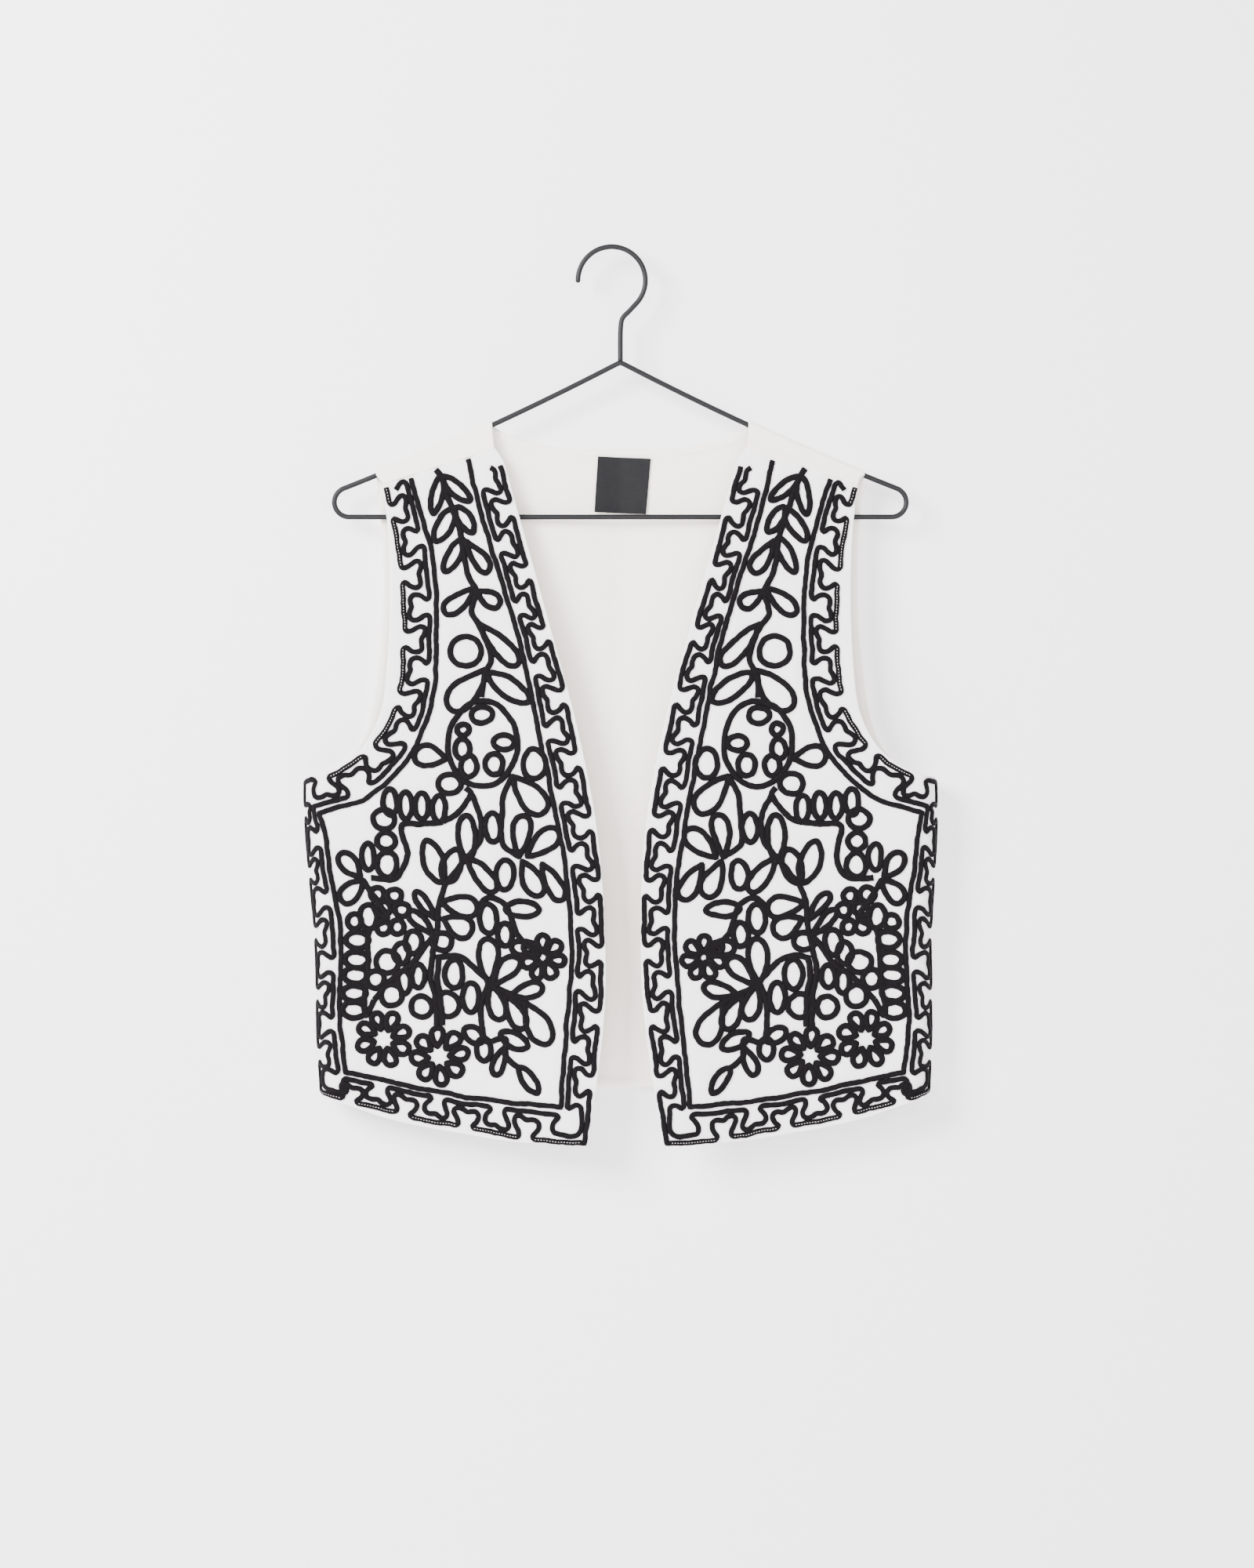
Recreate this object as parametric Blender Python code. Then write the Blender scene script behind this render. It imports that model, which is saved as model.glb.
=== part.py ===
"""Embroidered folk vest, open in front, hanging on a bent wire hanger.

The origin is the inner crown of the hanger's hook. +X is the viewer's right, +Y lies behind the
vest and +Z is up. The cloth is drawn on flat charts in millimetres: u is the way out from the
garment's centre line, measured along the cloth, and d is the way down from the crown of the hook.
Functions then bend the charts to the hung form, and the meshes are made in metres.
"""

import math
from collections import namedtuple

import bmesh
import bpy
import numpy as np
from mathutils import Vector
from mathutils.geometry import delaunay_2d_cdt

MM = 0.001

# Driving sizes in millimetres
WIRE_RADIUS = 2.0
CROWN_RADIUS = 25.8
CENTRE_LINE_X = 6.6
APEX_DEPTH = 86.4
ARM_SLOPE = 0.52
ARM_BOW = 0.0003
ARM_END_RADIUS = 11.3
ARM_END_U = 207.6
CLOTH = 1.2
SEAM_GAP = 0.3
FOLD_RADIUS = 3.3
TURN_FROM = 225.0
FRONT_TURN = math.radians(110)
BACK_TURN = math.radians(70)
UNDERARM_DEPTH = 404.0
BACK_HEM_DEPTH = 642.0
SWAY = 3.8
SWAY_FROM = 350.0
SWAY_OVER = 335.0
FRONT_KICK = 8.0
KICK_FROM = 470.0
KICK_OVER = 200.0
KICK_WIDTH = 150.0
CALM_DEPTH = 190.0
CALM_OVER = 40.0
TURN_EASE = 30.0
HEM_WIDTH = 6.5
HEM_EXTRA = 0.5
HEM_SLOPE = 0.8
CORD_WIDTH = 3.6
CORD_HEIGHT = 1.4
CORD_START = 12.0
CORD_END = 2.0
LABEL_THICKNESS = 1.0
LABEL_LIFT = 1.3
HOOK_SWEEP = 222.0
NECK_BEND = ((1.6, -53.0), (0.3, -60.0))
APEX_FLAT = 0.4
BAR_ROUNDING = 18.0

# Stations along the cloth in millimetres
GRID = 25.0
INNER_GRID = 45.0
OUTLINE_STEP = 16.0
BAND_DEPTH = 27.4
KEY_PERIOD = 48.6
MITRE_LIMIT = 0.45
TUBE_SIDES = 10
LEAF_POINTS = 9
RING_POINTS = 8
WREATH_POINTS = 22
PETAL_POINTS = 6
STEM_STEP = 14.0

# How far the cloth stands before or behind the wire, by the drop below the shoulder wire
Belly = namedtuple("Belly", "drop extra")
BELLY = [
    Belly(0, 0.0),
    Belly(35, 2.6),
    Belly(80, 5.5),
    Belly(150, 9.3),
    Belly(215, 11.7),
    Belly(600, 11.7),
]

# Half the width of the hung vest, seen from the front
Width = namedtuple("Width", "d half_width")
SIDE_WIDTH = [
    Width(400, 240.3),
    Width(440, 240.0),
    Width(485, 237.0),
    Width(524, 234.2),
    Width(565, 233.6),
    Width(604, 233.2),
    Width(645, 231.4),
]

# Front panel's free edges, each from its first corner to its last, as spots on its chart
Spot = namedtuple("Spot", "u d")
FRONT_OPENING = [
    Spot(96.1, 152.0),
    Spot(89.1, 162.8),
    Spot(82.7, 185.0),
    Spot(76.6, 206.5),
    Spot(55.0, 283.2),
    Spot(32.4, 367.2),
    Spot(18.2, 445.2),
    Spot(13.5, 523.2),
    Spot(15.4, 589.2),
    Spot(28.7, 684.8),
]
FRONT_HEM = [
    Spot(28.7, 684.8),
    Spot(59.6, 682.7),
    Spot(90.2, 680.3),
    Spot(120.9, 675.7),
    Spot(151.5, 670.3),
    Spot(182.0, 663.4),
    Spot(204.9, 655.7),
    Spot(231.9, 646.8),
    Spot(245.2, 642.2),
]
FRONT_ARMHOLE = [
    Spot(254.1, 404.0),
    Spot(232.0, 402.4),
    Spot(217.9, 397.4),
    Spot(199.6, 384.6),
    Spot(188.4, 369.0),
    Spot(181.2, 349.2),
    Spot(177.6, 319.2),
    Spot(176.1, 289.2),
    Spot(175.8, 259.2),
    Spot(176.6, 229.2),
    Spot(178.4, 205.8),
    Spot(182.0, 179.2),
]

# Back panel's free edges
BACK_ARMHOLE = [
    Spot(243.6, 404.0),
    Spot(229.0, 402.0),
    Spot(214.8, 394.5),
    Spot(200.4, 379.2),
    Spot(192.6, 358.2),
    Spot(187.2, 325.2),
    Spot(183.6, 289.2),
    Spot(182.2, 259.2),
    Spot(182.8, 223.2),
    Spot(185.1, 187.2),
]
BACK_NECK = [
    Spot(0.0, 152.1),
    Spot(41.7, 151.6),
    Spot(60.9, 149.1),
    Spot(78.9, 144.4),
    Spot(91.5, 139.0),
]
STRIP_OUTER_U = 186.8
STRIP_INNER_U = 98.0
SHOULDER_SEAM = (Spot(96.1, 152.0), Spot(182.0, 179.2))

# Soft troughs in the hung cloth; slope is how far u goes for each millimetre of d
Fold = namedtuple("Fold", "u d half_length half_width depth slope")
FOLDS = {
    "front_left": [
        Fold(60, 505, 70, 16, 2.2, -0.45),
        Fold(150, 470, 90, 26, 1.8, 0.25),
        Fold(196, 560, 80, 20, 1.6, -0.10),
        Fold(105, 300, 80, 24, 1.6, -0.30),
        Fold(110, 640, 60, 30, 1.8, 0.30),
    ],
    "front_right": [
        Fold(66, 520, 75, 17, 1.9, -0.35),
        Fold(140, 440, 90, 24, 2.0, 0.30),
        Fold(200, 590, 80, 20, 1.7, 0.08),
        Fold(112, 280, 75, 22, 1.5, -0.25),
        Fold(90, 625, 60, 26, 1.6, 0.20),
    ],
    "back": [
        Fold(0, 300, 150, 9, -1.3, 0.01),
        Fold(-14, 560, 90, 10, 2.4, 0.03),
        Fold(22, 590, 80, 12, 2.0, -0.05),
        Fold(85, 330, 90, 30, 2.0, 0.25),
        Fold(-90, 360, 110, 34, 2.2, -0.22),
        Fold(130, 530, 110, 30, 2.0, 0.10),
        Fold(-135, 540, 110, 28, 1.8, -0.08),
        Fold(-45, 220, 70, 26, 1.2, -0.30),
    ],
}

# The label's corners on the back chart, x from the centre line
LabelCorner = namedtuple("LabelCorner", "x d")
LABEL_TOP = (LabelCorner(-17.3, 157.8), LabelCorner(23.4, 159.6))
LABEL_FOOT = (LabelCorner(-20.1, 200.0), LabelCorner(19.8, 201.6))

# Cord border: where the keys have their middles along each run of the outer cord
Run = namedtuple("Run", "name middles")
RUNS = [
    Run("opening", (46.5, 96.1, 145.6, 195.2, 244.3, 292.8, 342.6, 392.6, 442.4, 491.7)),
    Run("hem", (44.7, 92.1, 140.1, 182.2)),
    Run("side", (26.6, 72.8, 119.4, 165.8, 212.4)),
    Run("armhole", (19.8, 61.6, 106.3, 153.2, 201.4, 251.0)),
]

# The runs of the outer cord and of the frame cord on the chart of a front
OUTER_LINE = {
    "opening": [
        Spot(94.6, 154.8), Spot(88.5, 178.4), Spot(76.6, 223.0), Spot(63.6, 271.3),
        Spot(49.1, 317.0), Spot(38.0, 365.5), Spot(28.0, 413.3), Spot(19.9, 462.0),
        Spot(16.4, 512.0), Spot(17.5, 562.0), Spot(22.5, 612.5), Spot(31.0, 681.9),
    ],
    "hem": [
        Spot(31.0, 681.9), Spot(68.6, 679.2), Spot(99.3, 673.8), Spot(146.0, 665.7),
        Spot(175.0, 658.8), Spot(204.8, 651.0), Spot(236.5, 642.5),
    ],
    "side": [
        Spot(236.5, 642.5), Spot(239.0, 604.0), Spot(239.4, 565.0), Spot(240.0, 524.0),
        Spot(242.8, 485.0), Spot(245.8, 440.0), Spot(246.5, 408.5),
    ],
    "armhole": [
        Spot(246.5, 408.5), Spot(221.8, 403.4), Spot(208.9, 396.8), Spot(187.0, 378.5),
        Spot(170.7, 352.3), Spot(164.9, 306.0), Spot(165.2, 270.0), Spot(168.8, 232.0),
        Spot(173.8, 204.0), Spot(179.6, 180.7),
    ],
}
FRAME_LINE = {
    "opening": [
        Spot(116.5, 161.5), Spot(105.4, 206.5), Spot(91.4, 250.7), Spot(77.5, 298.0),
        Spot(66.5, 349.0), Spot(52.4, 418.7), Spot(41.5, 482.9), Spot(39.3, 536.4),
        Spot(43.0, 585.1), Spot(46.1, 620.0), Spot(49.4, 654.4),
    ],
    "hem": [
        Spot(49.4, 654.4), Spot(111.5, 648.4), Spot(157.3, 640.1), Spot(187.8, 633.6),
        Spot(212.2, 629.0),
    ],
    "side": [
        Spot(212.2, 629.0), Spot(213.9, 616.0), Spot(216.6, 585.4), Spot(215.3, 554.8),
        Spot(215.0, 524.2), Spot(217.9, 498.2), Spot(222.1, 475.3), Spot(224.8, 452.3),
        Spot(228.9, 431.2),
    ],
    "armhole": [
        Spot(228.9, 431.2), Spot(218.4, 427.9), Spot(195.4, 421.0), Spot(180.0, 409.5),
        Spot(159.9, 388.1), Spot(147.6, 360.6), Spot(141.5, 337.6), Spot(139.8, 300.0),
        Spot(140.5, 259.5), Spot(143.8, 234.2), Spot(150.8, 206.4), Spot(160.5, 175.0),
    ],
}

# One key of the border cord: across from the run, and along from the key's middle
KeyPoint = namedtuple("KeyPoint", "across along")
KEY = [
    KeyPoint(0.0, -8.6),
    KeyPoint(2.6, -6.0),
    KeyPoint(7.0, -8.6),
    KeyPoint(12.0, -10.6),
    KeyPoint(15.8, -8.8),
    KeyPoint(16.2, -4.4),
    KeyPoint(14.4, 0.4),
    KeyPoint(16.9, 4.4),
    KeyPoint(17.2, 8.4),
    KeyPoint(13.8, 10.7),
    KeyPoint(8.8, 8.2),
    KeyPoint(3.6, 5.6),
    KeyPoint(0.0, 8.8),
]

# Embroidered leaves on the chart of a front: where each grows, where it ends, and its width
Leaf = namedtuple("Leaf", "root_u root_d tip_u tip_d width")
LEAVES = [
    Leaf(137.0, 174.9, 142.3, 202.9, 9),
    Leaf(135.4, 174.9, 115.2, 192.5, 9),
    Leaf(126.6, 199.5, 141.4, 224.0, 11),
    Leaf(124.8, 197.8, 112.6, 217.0, 10),
    Leaf(120.4, 222.2, 133.6, 247.5, 10),
    Leaf(117.8, 224.0, 100.3, 247.5, 11),
    Leaf(110.8, 259.8, 133.6, 279.1, 12),
    Leaf(107.3, 286.9, 77.6, 318.5, 13),
    Leaf(107.3, 297.4, 131.0, 314.9, 22),
    Leaf(102.0, 322.0, 130.1, 351.7, 19),
    Leaf(100.3, 325.5, 69.7, 346.4, 14),
    Leaf(131.9, 390.1, 156.1, 386.5, 15),
    Leaf(81.7, 403.2, 58.2, 430.7, 18),
    Leaf(78.4, 464.5, 74.0, 432.9, 13),
    Leaf(72.4, 464.5, 48.4, 444.7, 15),
    Leaf(76.4, 468.3, 62.8, 494.2, 15),
    Leaf(60.6, 470.5, 45.1, 497.2, 13),
    Leaf(117.9, 464.5, 96.6, 490.3, 13),
    Leaf(137.5, 484.3, 149.1, 452.7, 15),
    Leaf(137.8, 499.9, 110.2, 504.1, 15),
    Leaf(136.1, 511.8, 114.7, 522.0, 16),
    Leaf(103.0, 561.2, 102.1, 527.3, 15),
    Leaf(101.5, 561.4, 94.0, 588.2, 13),
    Leaf(74.3, 575.4, 58.9, 606.1, 18),
]

# Embroidered rings: centre and half sizes
Ring = namedtuple("Ring", "u d half_u half_d")
WREATH = Ring(104.8, 378.6, 26.3, 32.5)
RINGS = [
    Ring(65.6, 393.7, 8.5, 11.0),
    Ring(117.7, 448.6, 6.5, 16.0),
    Ring(154.3, 578.4, 8.0, 8.0),
    Ring(133.9, 577.4, 9.0, 9.0),
]

# Daisies: centre, petals and reach
Daisy = namedtuple("Daisy", "u d petals inner outer")
DAISIES = [
    Daisy(183.4, 603.1, 8, 7.0, 21.0),
    Daisy(141.0, 616.0, 8, 7.0, 21.5),
]

# Stems that carry the leaves
STEMS = [
    [Spot(141.8, 170.6), Spot(134.6, 182.0), Spot(123.0, 215.3), Spot(117.0, 246.7), Spot(109.9, 262.4),
     Spot(113.5, 279.9), Spot(99.5, 306.2), Spot(103.8, 325.5), Spot(105.5, 343.0)],
    [Spot(133.7, 484.4), Spot(140.7, 516.4), Spot(147.1, 553.6), Spot(142.8, 594.2)],
]


def remove_old_objects():
    """Empties the scene that the script runs in."""
    for old in list(bpy.data.objects):
        bpy.data.objects.remove(old, do_unlink=True)


def make_material(name, colour, roughness, metallic):
    """A Principled material with one colour."""
    material = bpy.data.materials.new(name)
    material.use_nodes = True
    shader = material.node_tree.nodes["Principled BSDF"]
    shader.inputs["Base Color"].default_value = (*colour, 1.0)
    shader.inputs["Roughness"].default_value = roughness
    shader.inputs["Metallic"].default_value = metallic
    material.diffuse_color = (*colour, 1.0)
    return material


def smooth_step(share):
    """Eases from 0 to 1 while share does."""
    share = min(1.0, max(0.0, share))
    return share * share * (3.0 - 2.0 * share)


def table_value(rows, key):
    """The value at key on the curve through a table's rows of (key, value)."""
    if key <= rows[0][0]:
        return rows[0][1]
    if key >= rows[-1][0]:
        return rows[-1][1]
    last = len(rows) - 1
    at = max(i for i in range(last) if rows[i][0] <= key)
    before, here, there = rows[max(0, at - 1)], rows[at], rows[at + 1]
    after = rows[min(last, at + 2)]
    span = there[0] - here[0]
    share = (key - here[0]) / span
    start_slope = (there[1] - before[1]) / (there[0] - before[0]) * span
    end_slope = (after[1] - here[1]) / (after[0] - here[0]) * span
    rise = here[1] + share * start_slope + share**2 * (
        3 * (there[1] - here[1]) - 2 * start_slope - end_slope
    )
    return rise + share**3 * (2 * (here[1] - there[1]) + start_slope + end_slope)


def curve_through(rows, step):
    """Points about one step apart on a smooth curve through all the rows."""
    points = [np.array(row[:2], float) for row in rows]
    last = len(points) - 1
    out = []
    for at in range(last):
        here, there = points[at], points[at + 1]
        span = np.linalg.norm(there - here)
        leave = (there - points[max(0, at - 1)]) / 2
        arrive = (points[min(last, at + 2)] - here) / 2
        if at > 0:
            leave *= 2 * span / (span + np.linalg.norm(here - points[at - 1]))
        if at < last - 1:
            arrive *= 2 * span / (span + np.linalg.norm(points[at + 2] - there))
        pieces = max(1, round(span / step))
        for piece in range(pieces):
            share = piece / pieces
            bend = 3 * (there - here) - 2 * leave - arrive
            twist = 2 * (here - there) + leave + arrive
            out.append(here + share * leave + share**2 * bend + share**3 * twist)
    out.append(points[-1])
    return out


def offset_line(line, distance):
    """A line moved to its inner side; a line that ends where it starts is taken as closed."""
    closed = np.allclose(line[0], line[-1])
    points = line[:-1] if closed else line
    count = len(points)
    out = []
    for at, point in enumerate(points):
        before = points[at - 1] if closed or at else point
        after = points[(at + 1) % count] if closed or at < count - 1 else point
        normals = []
        for way in (point - before, after - point):
            length = np.linalg.norm(way)
            if length > 0:
                normals.append(np.array((way[1], -way[0])) / length)
        normal = sum(normals) / len(normals)
        normal /= max(MITRE_LIMIT, float(normal @ normal))
        out.append(point + distance * normal)
    if closed:
        out.append(out[0])
    return out


class Path:
    """A polyline that gives its point at a share of its length."""

    def __init__(self, points):
        self.points = np.array(points)
        steps = np.linalg.norm(np.diff(self.points, axis=0), axis=1)
        self.stations = np.concatenate(([0.0], np.cumsum(steps)))
        self.length = float(self.stations[-1])

    def at(self, share):
        """The point at a share from 0 to 1 of the length."""
        station = share * self.length
        return np.array([np.interp(station, self.stations, self.points[:, k]) for k in (0, 1)])

    def nearest(self, point):
        """The path's point that lies nearest to another point."""
        starts, ways = self.points[:-1], np.diff(self.points, axis=0)
        shares = ((point - starts) * ways).sum(axis=1) / (ways**2).sum(axis=1)
        feet = starts + np.clip(shares, 0.0, 1.0)[:, None] * ways
        return feet[np.argmin(((feet - point) ** 2).sum(axis=1))]


def arm_depth(u):
    """Depth of the middle of the hanger's shoulder wire."""
    return APEX_DEPTH + ARM_SLOPE * u - ARM_BOW * u * u


def half_depth(u, d):
    """How far the cloth's middle lies before or behind the wire's plane."""
    reach = min(u, TURN_FROM)
    return FOLD_RADIUS + table_value(BELLY, max(0.0, d - arm_depth(reach)))


def fold_depth(panel, u, d):
    """Sum of the panel's soft troughs."""
    total = 0.0
    for fold in FOLDS[panel]:
        along = (d - fold.d) / fold.half_length
        across = (u - fold.u - fold.slope * (d - fold.d)) / fold.half_width
        total += fold.depth * math.exp(-along * along - across * across)
    return total


def sway(d):
    """How far the lower part hangs to the viewer's right."""
    return SWAY * smooth_step((d - SWAY_FROM) / SWAY_OVER)


def front_surface(panel, side):
    """The hung form of a front panel; side is -1 or 1."""

    def place(u, d):
        radius = half_depth(TURN_FROM, d)
        flat = table_value(SIDE_WIDTH, d) - radius
        if u <= flat:
            x, y = u, -half_depth(u, d)
        else:
            turn = (u - flat) / radius
            x, y = flat + radius * math.sin(turn), -radius * math.cos(turn)
        kick = smooth_step((d - KICK_FROM) / KICK_OVER) * smooth_step(1.0 - u / KICK_WIDTH)
        ease = smooth_step((flat - u) / TURN_EASE) * smooth_step((d - CALM_DEPTH) / CALM_OVER)
        y += ease * fold_depth(panel, u, d) - FRONT_KICK * kick
        return np.array((side * x + sway(d), y, -d))

    return place


def back_surface(x, s):
    """The hung form of the back; s is the height on its chart, running on over the shoulder wire."""
    u = abs(x)
    side = -1.0 if x < 0 else 1.0
    level = -arm_depth(u)
    past = s - level
    arc = math.pi * FOLD_RADIUS
    if past > arc:
        d = past - arc - level
        return np.array((x, -half_depth(u, d), -d))
    if past > 0:
        angle = past / FOLD_RADIUS
        return np.array((x, FOLD_RADIUS * math.cos(angle), level + FOLD_RADIUS * math.sin(angle)))
    d = -s
    radius = half_depth(TURN_FROM, d)
    flat = table_value(SIDE_WIDTH, d) - radius
    if u <= flat:
        y = half_depth(u, d)
    else:
        turn = (u - flat) / radius
        u, y = flat + radius * math.sin(turn), radius * math.cos(turn)
    ease = smooth_step((flat - u) / TURN_EASE) * smooth_step(-past / CALM_OVER)
    y -= ease * fold_depth("back", x, d)
    return np.array((side * u + sway(d), y, s))


def surface_normal(place, a, b, towards):
    """Unit normal of a chart's surface, on the side that towards gives on the middle of the cloth."""
    small = 0.2
    along = place(a + small, b) - place(a - small, b)
    down = place(a, b + small) - place(a, b - small)
    normal = np.cross(along, down)
    return towards * normal / np.linalg.norm(normal)


def distances(points, starts, ends):
    """Distance of each point to the nearest of the segments."""
    if not len(starts):
        return np.full(len(points), 1e9)
    ways = ends - starts
    sizes = np.maximum((ways**2).sum(axis=1), 1e-12)
    nearest = np.empty(len(points))
    for at, point in enumerate(points):
        share = np.clip(((point - starts) * ways).sum(axis=1) / sizes, 0.0, 1.0)
        foot = starts + share[:, None] * ways
        nearest[at] = np.sqrt(((foot - point) ** 2).sum(axis=1)).min()
    return nearest


def segments_of(lines):
    """Starts and ends of all the segments of some polylines."""
    starts = [point for line in lines for point in line[:-1]]
    ends = [point for line in lines for point in line[1:]]
    return np.array(starts).reshape(-1, 2), np.array(ends).reshape(-1, 2)


def inside(outline, point):
    """Whether a point lies inside a closed outline."""
    hit = False
    for at, end in enumerate(outline):
        start = outline[at - 1]
        if (start[1] > point[1]) != (end[1] > point[1]):
            cross = start[0] + (point[1] - start[1]) * (end[0] - start[0]) / (end[1] - start[1])
            hit = hit != (point[0] < cross)
    return hit


def grid_points(outline, spacing, lines, clearance):
    """Staggered rows of points inside an outline, clear of it and of the lines."""
    low = np.min(outline, axis=0)
    high = np.max(outline, axis=0)
    rows = int((high[1] - low[1]) / (spacing * 0.87))
    points = []
    for row in range(rows + 1):
        b = low[1] + spacing * 0.87 * row
        count = int((high[0] - low[0]) / spacing) + 1
        points += [np.array((low[0] + spacing * (k + 0.5 * (row % 2)), b)) for k in range(count)]
    points = np.array([point for point in points if inside(outline, point)])
    loop = list(outline) + [outline[0]]
    clear = distances(points, *segments_of([loop] + lines)) > clearance
    return list(points[clear])


def fill_outline(outline, lines, loose):
    """Triangles over an outline that keep the lines as edges; the outline's points come first."""
    points = [Vector(point) for point in outline]
    edges = []
    for line in lines:
        first = len(points)
        points += [Vector(point) for point in line]
        edges += [(k, k + 1) for k in range(first, len(points) - 1)]
    points += [Vector(point) for point in loose]
    loop = list(range(len(outline)))
    made, _, faces, sources, _, _ = delaunay_2d_cdt(points, edges, [loop], 1, 1e-4)
    rim_of = {}
    for index, origin in enumerate(sources):
        for source in origin:
            if source < len(outline):
                rim_of[source] = index
    order = [rim_of[k] for k in loop]
    rest = [index for index in range(len(made)) if index not in set(order)]
    new_index = {old: new for new, old in enumerate(order + rest)}
    flat = np.array([made[index] for index in order + rest])
    triangles = [[new_index[corner] for corner in face] for face in faces if len(face) == 3]
    return flat, triangles


def sheet_solid(outline, place, towards, outer_lines, outer_rise, inner_lines, inner_rise):
    """A cloth wall over a chart outline: relief on the outer skin, and a plain inner skin."""
    rim = len(outline)
    outer_loose = grid_points(outline, GRID, outer_lines, GRID * 0.3)
    inner_loose = grid_points(outline, INNER_GRID, inner_lines, INNER_GRID * 0.3)
    outer, outer_faces = fill_outline(outline, outer_lines, outer_loose)
    inner, inner_faces = fill_outline(outline, inner_lines, inner_loose)
    skins = ((outer, outer_rise, 1.0), (inner, inner_rise, -1.0))
    positions = []
    for flat, rise, way in skins:
        for (a, b), extra in zip(flat, rise(flat)):
            normal = surface_normal(place, a, b, towards)
            positions.append(place(a, b) + way * (CLOTH / 2 + extra) * normal)
    first_inner = len(outer)
    faces = [tuple(face) for face in outer_faces]
    faces += [tuple(first_inner + corner for corner in reversed(face)) for face in inner_faces]
    for k in range(rim):
        n = (k + 1) % rim
        faces.append((k, n, first_inner + n))
        faces.append((k, first_inner + n, first_inner + k))
    return positions, faces


def add_mesh_object(name, positions, faces, material, parent):
    """A named mesh object from points in millimetres, its faces turned outwards."""
    builder = bmesh.new()
    corners = [builder.verts.new([MM * float(value) for value in point]) for point in positions]
    for face in faces:
        builder.faces.new([corners[k] for k in face])
    bmesh.ops.recalc_face_normals(builder, faces=builder.faces)
    mesh = bpy.data.meshes.new(name)
    builder.to_mesh(mesh)
    builder.free()
    mesh.shade_smooth()
    mesh.set_sharp_from_angle(angle=math.radians(38))
    mesh.materials.append(material)
    made = bpy.data.objects.new(name, mesh)
    bpy.context.collection.objects.link(made)
    made.parent = parent
    return made


def side_seam(turn, depths):
    """Chart points down the side seam of a panel that turns so far round the side."""
    points = []
    for d in depths:
        radius = half_depth(TURN_FROM, d)
        reach = table_value(SIDE_WIDTH, d) - radius + radius * turn - SEAM_GAP / 2
        points.append(np.array((reach, d)))
    return points


def turn_lines(turns):
    """Lines down the side of a panel's chart, at some angles of its turn."""
    depths = np.linspace(UNDERARM_DEPTH + 9.0, BACK_HEM_DEPTH - 7.0, 7)
    return [side_seam(math.radians(turn), depths) for turn in turns]


def front_runs():
    """The four free or sewn edges of a front, from the shoulder down, out, up and back to the top."""
    opening = curve_through(FRONT_OPENING, OUTLINE_STEP)
    armhole = curve_through(FRONT_ARMHOLE, OUTLINE_STEP)
    depths = np.linspace(FRONT_HEM[-1].d, FRONT_ARMHOLE[0].d, 17)
    side = side_seam(FRONT_TURN, depths)
    hem = curve_through(FRONT_HEM[:-1] + [Spot(*side[0])], OUTLINE_STEP)
    armhole[0] = side[-1]
    return {"opening": opening, "hem": hem, "side": side, "armhole": armhole}


def border_paths(lines):
    """The runs of a border line as paths."""
    return [Path(curve_through(lines[run.name], OUTLINE_STEP)) for run in RUNS]


def band_place(outer, frame, across, along):
    """A point of the border band, across from the outer run and along it, in millimetres."""
    start = outer.at(along / outer.length)
    lean = across / BAND_DEPTH
    return (1 - lean) * start + lean * frame.nearest(start)


def key_scale(run):
    """How much longer or shorter a run's keys are than the usual one."""
    spacing = (run.middles[-1] - run.middles[0]) / (len(run.middles) - 1)
    return spacing / KEY_PERIOD


def outer_cord(outers, frames):
    """The outer border cord, with a key pointing inwards at each middle."""
    line = []
    for run, outer, frame in zip(RUNS, outers, frames):
        first = CORD_START if run.name == "opening" else 0.0
        line.append(band_place(outer, frame, 0.0, first))
        scale = key_scale(run)
        for middle in run.middles:
            line += [band_place(outer, frame, p.across, middle + scale * p.along) for p in KEY]
    line.append(band_place(outers[-1], frames[-1], 0.0, outers[-1].length - CORD_END))
    return line


def leaf_loop(leaf, count):
    """A closed drop from its root to its tip and back."""
    root = np.array((leaf.root_u, leaf.root_d))
    along = np.array((leaf.tip_u, leaf.tip_d)) - root
    across = np.array((along[1], -along[0])) / np.linalg.norm(along)
    points = []
    for k in range(count + 1):
        angle = math.tau * k / count
        spread = leaf.width / 2 / 0.77 * math.sin(angle) * math.sin(angle / 2)
        points.append(root + along * (1 - math.cos(angle)) / 2 + across * spread)
    return points


def ring_loop(ring, count):
    """A closed oval."""
    centre = np.array((ring.u, ring.d))
    half = np.array((ring.half_u, ring.half_d))
    angles = [math.tau * k / count for k in range(count + 1)]
    return [centre + half * np.array((math.cos(a), math.sin(a))) for a in angles]


def daisy_petals(daisy):
    """The petals of a daisy as leaves round its centre."""
    petals = []
    for k in range(daisy.petals):
        angle = math.tau * (k + 0.4) / daisy.petals
        way = np.array((math.cos(angle), math.sin(angle)))
        root = np.array((daisy.u, daisy.d)) + daisy.inner * way
        tip = np.array((daisy.u, daisy.d)) + daisy.outer * way
        petals.append(Leaf(*root, *tip, 0.62 * (daisy.outer - daisy.inner)))
    return petals


def embroidery_lines():
    """The raised cords of a front that shape its outer skin."""
    outers = border_paths(OUTER_LINE)
    frames = border_paths(FRAME_LINE)
    frame_line = [point for path in frames for point in path.points[:-1]][1:]
    lines = [outer_cord(outers, frames), frame_line]
    lines += [leaf_loop(leaf, LEAF_POINTS) for leaf in LEAVES]
    lines += [ring_loop(WREATH, WREATH_POINTS)]
    lines += [ring_loop(ring, RING_POINTS) for ring in RINGS]
    lines += [leaf_loop(petal, PETAL_POINTS) for daisy in DAISIES for petal in daisy_petals(daisy)]
    lines += [curve_through(stem, STEM_STEP) for stem in STEMS]
    return lines


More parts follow.
